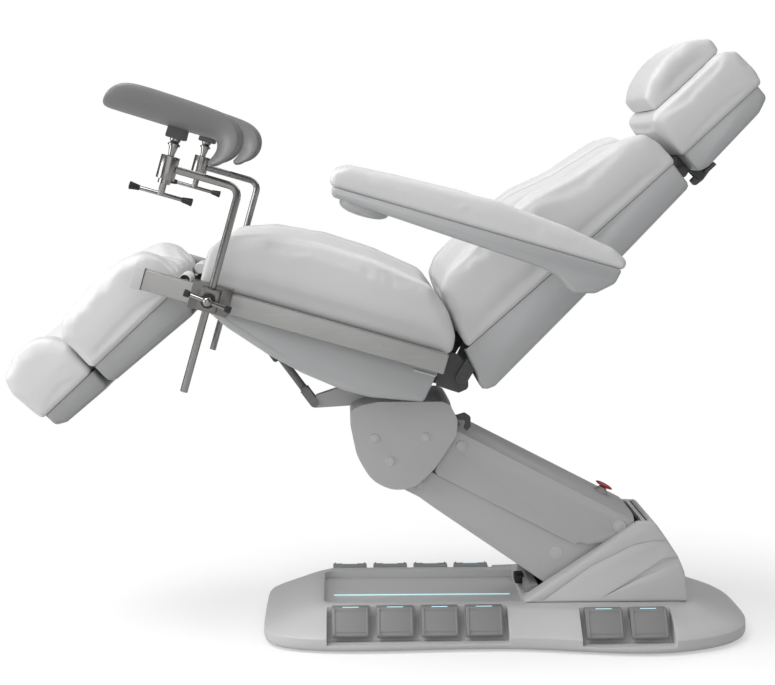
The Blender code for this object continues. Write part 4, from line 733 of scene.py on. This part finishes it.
def column_moulding():
    """The cover round the foot of the arms, with its groove, its edge line and the slot on top."""
    made = merged_copy("column_cover", "column_moulding")
    for _, sign in SIDES:
        low, high = span(sign, 0.1185, 0.17)
        groove = blank("groove_cutter", [
            (0.4842, 0.0944), (0.560, 0.1395), (0.628, 0.184), (0.690, 0.190), (0.690, 0.168),
            (0.662, 0.1725),
            (0.566, 0.1345),
        ], low, high)
        for vertex in groove.data.vertices:
            if abs(vertex.co.y) < 0.12:
                vertex.co.y = sign * (0.1450 - COLUMN_LEAN * (vertex.co.z - DECK))
        line = blank("line_cutter", [
            (0.345, 0.0855), (0.4601, 0.1673), (0.5576, 0.2150), (0.5987, 0.2236), (0.690, 0.2236),
            (0.690, 0.2218), (0.5990, 0.2218), (0.5580, 0.2131), (0.4608, 0.1654),
            (0.3475, 0.0855),
        ], low, high)
        for vertex in line.data.vertices:
            if abs(vertex.co.y) < 0.12:
                vertex.co.y = sign * (0.1488 - COLUMN_LEAN * (vertex.co.z - DECK))
        cut_away(made, groove, line)
    break_edges(made, 0.0012, 2)
    dress(made, "base", COVER, ("column_cover",), 40)
    slot = blank("column_slot", rounded([
        (0.5935, -0.098, 0.004), (0.5975, -0.100, 0.002), (0.5975, 0.100, 0.002),
        (0.5935, 0.098, 0.004),
    ], 3), 0.2600, 0.2635, plan=True)
    dress(slot, "base", BLACK)
    bead = turned("column_bead",
                  [(0.0018, -0.113), (0.0030, -0.111), (0.0030, 0.111), (0.0018, 0.113)],
                  (0.604, 0.0, 0.2618), (0.0, 1.0, 0.0), 16)
    dress(bead, "base", COVER)
    throat = blank("column_throat", rounded([
        (0.3200, 0.0856), (0.3200, 0.108, 0.004), (0.328, 0.1145, 0.004), (0.3475, 0.1145, 0.003),
        (0.3475, 0.0856),
    ], 4), -0.095, 0.095)
    break_edges(throat, 0.0015, 2)
    dress(throat, "base", PEDAL)
    socket = blank("inlet_socket", rounded([
        (0.3030, 0.0935, 0.003), (0.3225, 0.0935), (0.3225, 0.1130), (0.3030, 0.1130, 0.004),
    ], 3), -0.021, 0.021)
    break_edges(socket, 0.001, 2)
    dress(socket, "base", BLACK)


def head_casting():
    """A smooth skin over the lift's head, and its dark hook."""
    corners = [
        (-0.106, 0.150, 0.012), (-0.106, 0.120, 0.04), (-0.092, 0.050, 0.08),
        (-0.060, -0.008, 0.06),
        (-0.014, -0.030, 0.06), (0.034, -0.027, 0.05), (0.080, 0.018, 0.08), (0.128, 0.092, 0.012),
        (0.131, 0.128, 0.014), (0.112, 0.163, 0.012), (0.090, 0.170, 0.012),
        (-0.034, 0.170, 0.012),
        (-0.082, 0.160, 0.012),
    ]
    outline = relaxed(rounded(corners, 8), 0.006, 14, 0.0032, 0.1706)
    made = blank("lift_head_skin", outline, -CHEEK_SKIN, CHEEK_SKIN, "lift_head")
    half = CHEEK_GAP - 0.0003
    cut_away(made, blank("inside_cutter", [
        (-0.0815, 0.1497), (-0.0715, 0.040), (-0.0445, -0.005), (-0.0295, -0.06), (0.3, -0.06),
        (0.3, 0.1497),
    ], -half, half, "lift_head"))
    break_edges(made, 0.009, 5)
    dress(made, "lift_head", PAINT, (), 40)
    hook = blank("line_hook", rounded([
        (0.120, 0.1337), (0.150, 0.1427, 0.006), (0.1637, 0.1337, 0.008), (0.1637, 0.1095, 0.008),
        (0.155, 0.1003, 0.003), (0.1483, 0.1077, 0.004), (0.1513, 0.1163), (0.1513, 0.1257, 0.004),
        (0.138, 0.1263), (0.120, 0.1213),
    ], 5), -CHEEK_GAP - 0.0066, -HOOD_FACE - 0.0009, "lift_head")
    break_edges(hook, 0.0012, 2)
    dress(hook, "lift_head", DARK)


def fixing_cap(name, body, x, z, face, sign, radius, proud):
    """A round cap on a face that looks sideways: a raised ring with a domed middle."""
    steps = [
        (1.0, -0.3), (1.0, 0.55), (0.92, 0.95), (0.74, 0.95), (0.68, 0.74), (0.62, 0.74),
        (0.56, 0.92), (0.28, 1.0),
    ]
    made = turned(name, [(radius * r, proud * h) for r, h in steps], (x, sign * face, z),
                  (0.0, sign, 0.0))
    dress(made, body, CAP)


def fixings():
    """Caps on the pivots, on the head's cheeks and on the rails."""
    for side, sign in SIDES:
        fixing_cap(f"pivot_cap_base_{side}", "lower_arm", 0.390, 0.186, ARM_FACE, sign, 0.0145,
                   0.0016)
        fixing_cap(f"arm_cap_{side}", "lower_arm", 0.074, 0.348, ARM_FACE, sign, 0.009, 0.0016)
        fixing_cap(f"hood_cap_base_{side}", "upper_arm", 0.534, 0.250, HOOD_FACE, sign, 0.0145,
                   0.0028)
        fixing_cap(f"hood_cap_head_{side}", "upper_arm", 0.168, 0.439, HOOD_FACE, sign, 0.0125,
                   0.0028)
        for index, (x, z) in enumerate(((-0.031, 0.462), (0.084, 0.464), (0.004, 0.410))):
            fixing_cap(f"cheek_cap_{side}_{index + 1}", "lift_head", x, z, CHEEK_SKIN, sign,
                       0.0105, 0.003)
        for index, x in enumerate((-0.405, -0.094)):
            screw = turned(f"rail_screw_{side}_{index + 1}", [
                (0.0062, -0.0010), (0.0062, 0.0001), (0.0056, 0.0003), (0.0030, 0.0003),
                (0.0026, -0.0004),
            ], (x, sign * RAIL_OUTER, 0.112), (0.0, sign, 0.0), 20, "seat")
            dress(screw, "seat", RAIL)


def rails():
    """The accessory rails with their end pieces."""
    for side, sign in SIDES:
        eased(f"side_rail_{side}", f"rail_bar_{side}", "seat", RAIL, 0.0006, 2)
        low, high = span(sign, RAIL_INNER - 0.0012, RAIL_OUTER + 0.0012)
        end = blank(f"rail_end_{side}", rounded([
            (-0.6364, 0.0884, 0.004), (-0.6135, 0.0884, 0.001), (-0.6135, 0.1356, 0.001),
            (-0.6364, 0.1356, 0.004),
        ], 3), low, high, "seat")
        break_edges(end, 0.0014, 3)
        dress(end, "seat", CAP)
        low, high = span(sign, RAIL_INNER - 0.0005, RAIL_OUTER + 0.0005)
        gasket = blank(f"rail_gasket_{side}", [
            (-0.6136, 0.0893), (-0.6120, 0.0893), (-0.6120, 0.1347), (-0.6136, 0.1347),
        ], low, high, "seat")
        dress(gasket, "seat", BLACK)


def trough(side, sign):
    """A knee trough: a grid bent through stations, from its round end to the curl at the knee."""
    stations = (
        (-0.1595, 0.0680, -0.1550, 0.0790, 0.042), (-0.1570, 0.0620, -0.1510, 0.0950, 0.055),
        (-0.1490, 0.0592, -0.1400, 0.1085, 0.064), (-0.1300, 0.0585, -0.1200, 0.1185, 0.070),
        (-0.0950, 0.0580, -0.0900, 0.1225, 0.072), (-0.0300, 0.0565, -0.0250, 0.1205, 0.072),
        (0.0300, 0.0560, 0.0350, 0.1180, 0.072), (0.0600, 0.0572, 0.0800, 0.1150, 0.072),
        (0.0760, 0.0580, 0.1040, 0.1070, 0.072), (0.0840, 0.0520, 0.1225, 0.0920, 0.072),
        (0.0862, 0.0430, 0.1310, 0.0730, 0.072), (0.0858, 0.0340, 0.1318, 0.0520, 0.071),
        (0.0828, 0.0250, 0.1240, 0.0320, 0.068), (0.0785, 0.0160, 0.1080, 0.0150, 0.060),
        (0.0740, 0.0095, 0.0860, 0.0050, 0.048),
    )
    across = 12
    bpy.ops.object.select_all(action="DESELECT")
    bpy.ops.mesh.primitive_grid_add(x_subdivisions=len(stations) - 1, y_subdivisions=across,
                                    size=1.0)
    made = bpy.context.view_layer.objects.active
    made.name = made.data.name = f"crutch_pad_{side}"
    for vertex in made.data.vertices:
        station = stations[round((vertex.co.x + 0.5) * (len(stations) - 1))]
        turn = pi * (vertex.co.y + 0.5)
        floor, rim, half = Vector(station[:2]), Vector(station[2:4]), station[4]
        place = floor.lerp(rim, 1.0 - sin(turn) ** 0.9)
        vertex.co = (place.x, half * cos(turn), place.y)
    turn_outward(made)
    if sum(face.normal.z for face in made.data.polygons[:30]) < 0:
        only(made)
        bpy.ops.object.mode_set(mode="EDIT")
        bpy.ops.mesh.flip_normals()
        bpy.ops.object.mode_set(mode="OBJECT")
    modifier(made, "SOLIDIFY", thickness=0.013, offset=1.0, use_even_offset=False)
    modifier(made, "SUBSURF", levels=2, render_levels=2)
    made.data.transform(placed("crutch") @ Matrix.Translation((0.0, sign * ROD_LINE, 0.0)))
    dress(made, f"crutch_{side}", FOAM, (f"crutch_{side}",), None)
    return made


def supports():
    """Both knee supports: trough, block, stepped post, sleeve, rod, clamp, screws and grips."""
    for side, sign in SIDES:
        line = sign * ROD_LINE
        handle = (-0.467, line, 0.112)
        hinge = (0.0030, 0.0, 0.0208)
        trough(side, sign)
        block = blank(f"crutch_block_{side}", rounded([
            (-0.020, 0.037, 0.003), (0.021, 0.037, 0.003), (0.020, 0.066), (-0.019, 0.066),
        ], 3), line - 0.024, line + 0.024, "crutch")
        break_edges(block, 0.002, 2)
        dress(block, f"crutch_{side}", DARK)
        post = turned(f"crutch_post_{side}", [
            (0.0096, -0.026), (0.0099, -0.024), (0.0099, -0.001), (0.0066, 0.001), (0.0068, 0.006),
            (0.0086, 0.016),
            (0.0094, 0.020), (0.0094, 0.0215), (0.0128, 0.0220), (0.0128, 0.0262),
            (0.0100, 0.0270),
            (0.0088, 0.0300), (0.0112, 0.0330), (0.0112, 0.0372),
        ], (0.0, line, 0.0), section="crutch")
        dress(post, f"crutch_{side}", BRIGHT)
        eased(f"support_rod_{side}", f"rod_{side}", f"support_rod_{side}", BRIGHT, 0.0006,
              2)
        eased(f"rail_clamp_{side}", f"clamp_{side}", f"rail_clamp_{side}", PLATE, 0.0010,
              2)
        eased(f"clamp_handle_{side}", f"handle_{side}", f"clamp_handle_{side}", BRIGHT, 0.0004,
              1)
        eased(f"t_screw_{side}", f"tee_{side}", f"t_screw_{side}", BRIGHT, 0.0004,
              1)
        for end in (-1, 1):
            word = "front" if end < 0 else "rear"
            grip = turned(f"tee_grip_{word}_{side}", [
                (0.0050, 0.0445), (0.0056, 0.0460), (0.0072, 0.0580), (0.0084, 0.0645),
                (0.0082, 0.0660), (0.0055, 0.0668),
            ], (-0.619, line, 0.2965), (end, 0.0, 0.0), 24, "seat")
            dress(grip, f"t_screw_{side}", BLACK)
            grip = turned(f"handle_grip_{word}_{side}", [
                (0.0052, 0.038), (0.0072, 0.040), (0.0078, 0.049), (0.0072, 0.0510),
                (0.0050, 0.0515),
            ], (-0.467, sign * 0.385, 0.112), (end, 0.0, -0.10 * end), 8, "seat")
            dress(grip, f"clamp_handle_{side}", BLACK)
        ring = turned(f"handle_ring_{side}", [
            (0.0125, 0.0255), (0.0150, 0.0262), (0.0150, 0.0295), (0.0125, 0.0305),
        ], handle, (0.0, sign, 0.0), 32, "seat")
        dress(ring, f"clamp_handle_{side}", BLACK)
        ball = turned(f"handle_ball_{side}", [
            (0.0075, 0.030), (0.0098, 0.034), (0.0104, 0.038), (0.0098, 0.042), (0.0078, 0.0455),
            (0.0045, 0.0478),
            (0.0015, 0.0484),
        ], handle, (0.0, sign, 0.0), 28, "seat")
        dress(ball, f"clamp_handle_{side}", BRIGHT)
        roll = turned(f"hinge_roll_{side}", [
            (0.0120, 0.1300), (0.0136, 0.1320), (0.0136, 0.2190), (0.0128, 0.2210),
            (0.0112, 0.2210), (0.0110, 0.2140),
        ], hinge, (0.0, sign, 0.0), 32, "leg")
        dress(roll, "leg", LEATHER)
        # Painted shade: a black disc at the floor of the roll's end recess stands for the shade
        # inside the hole.
        hole = turned(f"roll_hole_painted_shade_{side}", [(0.0108, 0.2130), (0.0108, 0.2150)], hinge,
                      (0.0, sign, 0.0), 24, "leg")
        dress(hole, "leg", BLACK)
        stud = turned(f"roll_stud_{side}", [
            (0.0028, 0.2140), (0.0028, 0.2230), (0.0042, 0.2240), (0.0048, 0.2265),
            (0.0038, 0.2290), (0.0016, 0.2300),
        ], (0.0050, 0.0, 0.0180), (0.0, sign, 0.0), 20, "leg")
        dress(stud, "leg", BRIGHT)


def shells():
    """The sections' moulded shells and the armrests."""
    for node, body in (
        ("seat_shell", "seat"), ("back_shell", "back"), ("leg_shell", "leg"),
        ("foot_shell", "foot"),
        ("head_shell", "head"), ("armrest_left", "armrest_left"),
        ("armrest_right", "armrest_right"),
    ):
        # The leg and foot shells take the darker copy of the shell plastic as painted shade.
        finish = SHELL_PAINTED_SHADE if body in ("leg", "foot") else SHELL
        eased(node, node + "_moulding", body, finish, 0.0015, segments=2)
    eased("head_lever", "head_lever_grip", "head_lever", LEVER, 0.001, segments=2)
    for side, sign in SIDES:
        knob = turned(f"arm_knob_{side}", [
            (0.0520, 0.0), (0.0515, 0.0060), (0.0480, 0.0115), (0.0400, 0.0160), (0.0290, 0.0190),
            (0.0150, 0.0206),
            (0.0060, 0.0210),
        ], (-0.466, sign * ARM_LINE, 0.0125), (0.0, 0.0, -1.0), 40, "arm")
        for vertex in knob.data.vertices:
            vertex.co.y = sign * ARM_LINE + (vertex.co.y - sign * ARM_LINE) * 0.66
        dress(knob, f"armrest_{side}", SHELL)
        # A proud bead along the seat shell's slot. Its paler cap colour is a painted highlight
        # along the slot.
        bead = turned(f"shell_slot_highlight_{side}",
                      [(0.0009, 0.0), (0.0026, 0.001), (0.0026, 0.049), (0.0009, 0.050)],
                      (-0.012, sign * 0.2808, 0.0785), (1.0, 0.0, 0.0), 12, "seat")
        dress(bead, "seat", CAP)


def arms():
    """The two lift arms; the lower one has deep side plates that reach down behind the column."""
    eased("lower_arm", "lower_arm_sheet", "lower_arm", PAINT, 0.002)
    for side, sign in SIDES:
        low, high = span(sign, 0.0868, ARM_FACE + 0.0004)
        plate = blank(f"lower_arm_plate_{side}", rounded([
            (-0.350, 0.038, 0.01), (0.000, 0.038, 0.02), (0.030, 0.056, 0.02),
            (0.092, 0.078, 0.01),
            (0.112, 0.030, 0.03), (0.072, -0.078, 0.01), (0.030, -0.0772, 0.02),
            (-0.300, -0.0340, 0.05),
            (-0.350, -0.0262),
        ], 5), low, high, "lower_arm")
        break_edges(plate, 0.0012, 2)
        dress(plate, "lower_arm", PAINT)
    eased("upper_arm", "upper_arm_sheet", "upper_arm", PAINT, 0.0025)


def stop_button():
    """The red mushroom button on its pale collar."""
    x = -0.053
    head = turned("stop_mushroom", [
        (0.0070, 0.0370), (0.0070, 0.0515), (0.0110, 0.0530), (0.0180, 0.0545), (0.0206, 0.0555),
        (0.0210, 0.0566),
        (0.0204, 0.0585), (0.0150, 0.0600), (0.0080, 0.0608), (0.0030, 0.0610),
    ], (x, 0.0, 0.0), sides=40, section="upper_arm")
    dress(head, "estop", RED, ("estop_button",))
    collar = turned("stop_collar", [
        (0.0152, 0.0385), (0.0152, 0.0454), (0.0140, 0.0462), (0.0112, 0.0464), (0.0108, 0.0500),
        (0.0095, 0.0510),
    ], (x, 0.0, 0.0), sides=40, section="upper_arm")
    dress(collar, "upper_arm", CAP)


def pedals():
    """The foot pedals with softened edges and a light strip on each ledge."""
    for node in list(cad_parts):
        if not node.startswith("pedal_"):
            continue
        eased(node, node + "_tread", node, PEDAL, 0.0008, 2)
        low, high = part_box(node)
        sign = -1 if "left" in node else 1
        y = sign * (min(abs(low.y), abs(high.y)) + 0.0235)
        middle = (low.x + high.x) / 2
        hinge = Vector((middle, sign * (min(abs(low.y), abs(high.y)) + 0.006), 0.073))
        for word, edge in (("front", -0.0385), ("rear", 0.0345)):
            rib = blank(f"{node}_rib_{word}", [
                (0.0232, 0.0152), (0.0570, -0.0355), (0.0594, -0.0339), (0.0256, 0.0168),
            ], edge, edge + 0.004)
            for vertex in rib.data.vertices:
                out, wide, up = vertex.co
                vertex.co = hinge + Vector((wide, sign * out, up))
            turn_outward(rib)
            break_edges(rib, 0.0006, 2)
            dress(rib, node, PEDAL)
        strip = turned(node + "_strip", [
            (0.0006, -0.0185), (0.0014, -0.0175), (0.0014, 0.0175), (0.0006, 0.0185),
        ], (middle, y, high.z - 0.0004), (1.0, 0.0, 0.0), 10)
        dress(strip, node, STRIP)
    strip = turned("tray_strip",
                   [(0.0008, -0.125), (0.0016, -0.123), (0.0016, 0.288), (0.0008, 0.290)],
                   (0.0, -0.020, 0.0688), (1.0, 0.0, 0.0), 12)
    dress(strip, "base", STRIP)


def bare_metal():
    """Finishes for the nodes that stay as they are."""
    finishes = (
        (LINK, ("tilt_actuator_rod",)),
        (DARK, ("base_frame", "seat_frame", "back_frame", "leg_frame", "foot_frame", "head_frame",
                "lift_actuator_body", "tilt_actuator_body", "back_actuator_body",
                "leg_actuator_body")),
        (BRIGHT, ("lift_actuator_rod", "back_actuator_rod", "leg_actuator_rod")),
        (PAINT, ("lift_head",)),
    )
    for finish, nodes in finishes:
        for node in nodes:
            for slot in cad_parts[node].material_slots:
                slot.material = finish


def lamp(name, place, size, power, aim=(0.0, 0.0, 0.65)):
    """A soft square lamp."""
    data = bpy.data.lights.new(name, "AREA")
    data.shape = "SQUARE"
    data.size = size
    data.energy = power
    holder = bpy.data.objects.new(name + "_lamp", data)
    bpy.context.scene.collection.objects.link(holder)
    holder.location = place
    holder.rotation_euler = (Vector(aim) - Vector(place)).to_track_quat("-Z", "Y").to_euler()


def studio():
    """Floor, white surroundings, soft lamps and the camera."""
    bpy.ops.object.select_all(action="DESELECT")
    bpy.ops.mesh.primitive_plane_add(size=14.0, location=(0.0, 0.0, 0.0))
    floor = bpy.context.view_layer.objects.active
    floor.name = "studio_floor"
    recipe = Recipe("studio_white")
    camera_ray = recipe.node("ShaderNodeLightPath", out="Is Camera Ray")
    glossy_ray = recipe.node("ShaderNodeLightPath", out="Is Glossy Ray")
    shader = recipe.node(
        "ShaderNodeBsdfPrincipled", None, Base_Color=(0.55, 0.55, 0.55, 1.0), Roughness=0.9,
        Specular_IOR_Level=0.0,
    )
    lit = recipe.node(
        "ShaderNodeEmission", None, Color=(1.0, 1.0, 1.0, 1.0),
        Strength=camera_ray * 0.46 + glossy_ray * 0.2
    )
    both = recipe.node("ShaderNodeAddShader", None, shader, lit)
    clear = recipe.node("ShaderNodeEmission", None, Color=(1.0, 1.0, 1.0, 1.0), Strength=1.0)
    centred = recipe.node(
        "ShaderNodeMapping", None, Vector=recipe.node("ShaderNodeTexCoord", out="Object"),
        Location=(-0.25, 0.1, 0.0), Scale=(0.85, 1.0, 1.0),
    )
    away = recipe.node("ShaderNodeVectorMath", {"operation": "LENGTH"}, centred, out="Value")
    fade = ((away - 0.62) / 0.55).clamp()
    shown = recipe.node("ShaderNodeMixShader", None, fade * camera_ray, both, clear)
    recipe.node("ShaderNodeOutputMaterial", None, Surface=shown)
    floor.data.materials.append(recipe.material)

    world = bpy.data.worlds.new("studio_air")
    world.use_nodes = True
    bpy.context.scene.world = world
    tree = world.node_tree
    tree.nodes.clear()
    air = tree.nodes.new("ShaderNodeBackground")
    air.inputs["Color"].default_value = (1.0, 1.0, 1.0, 1.0)
    light_path = tree.nodes.new("ShaderNodeLightPath")
    level = 0.40
    for socket, change in (("Is Camera Ray", 0.60), ("Is Glossy Ray", -0.22)):
        share = tree.nodes.new("ShaderNodeMath")
        share.operation = "MULTIPLY_ADD"
        tree.links.new(light_path.outputs[socket], share.inputs[0])
        share.inputs[1].default_value = change
        if isinstance(level, float):
            share.inputs[2].default_value = level
        else:
            tree.links.new(level, share.inputs[2])
        level = share.outputs[0]
    tree.links.new(level, air.inputs["Strength"])
    out = tree.nodes.new("ShaderNodeOutputWorld")
    tree.links.new(air.outputs[0], out.inputs["Surface"])

    lamp("key", (-1.5, -0.9, 3.5), 2.2, 98.0)
    lamp("front", (-0.3, -4.4, 1.7), 3.6, 44.0)
    lamp("side", (-3.4, -1.0, 1.3), 1.8, 48.0, (-0.1, 0.0, 0.1))
    lamp("back", (1.4, 2.2, 3.0), 2.4, 30.0)

    camera = bpy.data.cameras.new("photo_view")
    camera.lens = CAMERA_LENS
    camera.sensor_width = 36.0
    camera.sensor_fit = "HORIZONTAL"
    holder = bpy.data.objects.new("photo_camera", camera)
    bpy.context.scene.collection.objects.link(holder)
    holder.location = CAMERA_PLACE
    holder.rotation_euler = (radians(90.0 - CAMERA_DIP), 0.0, radians(-CAMERA_TURN))
    bpy.context.scene.camera = holder
    bpy.context.scene.view_settings.view_transform = "Standard"


def make():
    """Everything that the couch shows, then its surroundings."""
    seat_upholstery()
    back_upholstery()
    leg_upholstery()
    head_upholstery()
    arm_upholstery()
    base_moulding()
    column_moulding()
    head_casting()
    arms()
    shells()
    rails()
    supports()
    fixings()
    stop_button()
    pedals()
    bare_metal()
    studio()


make()
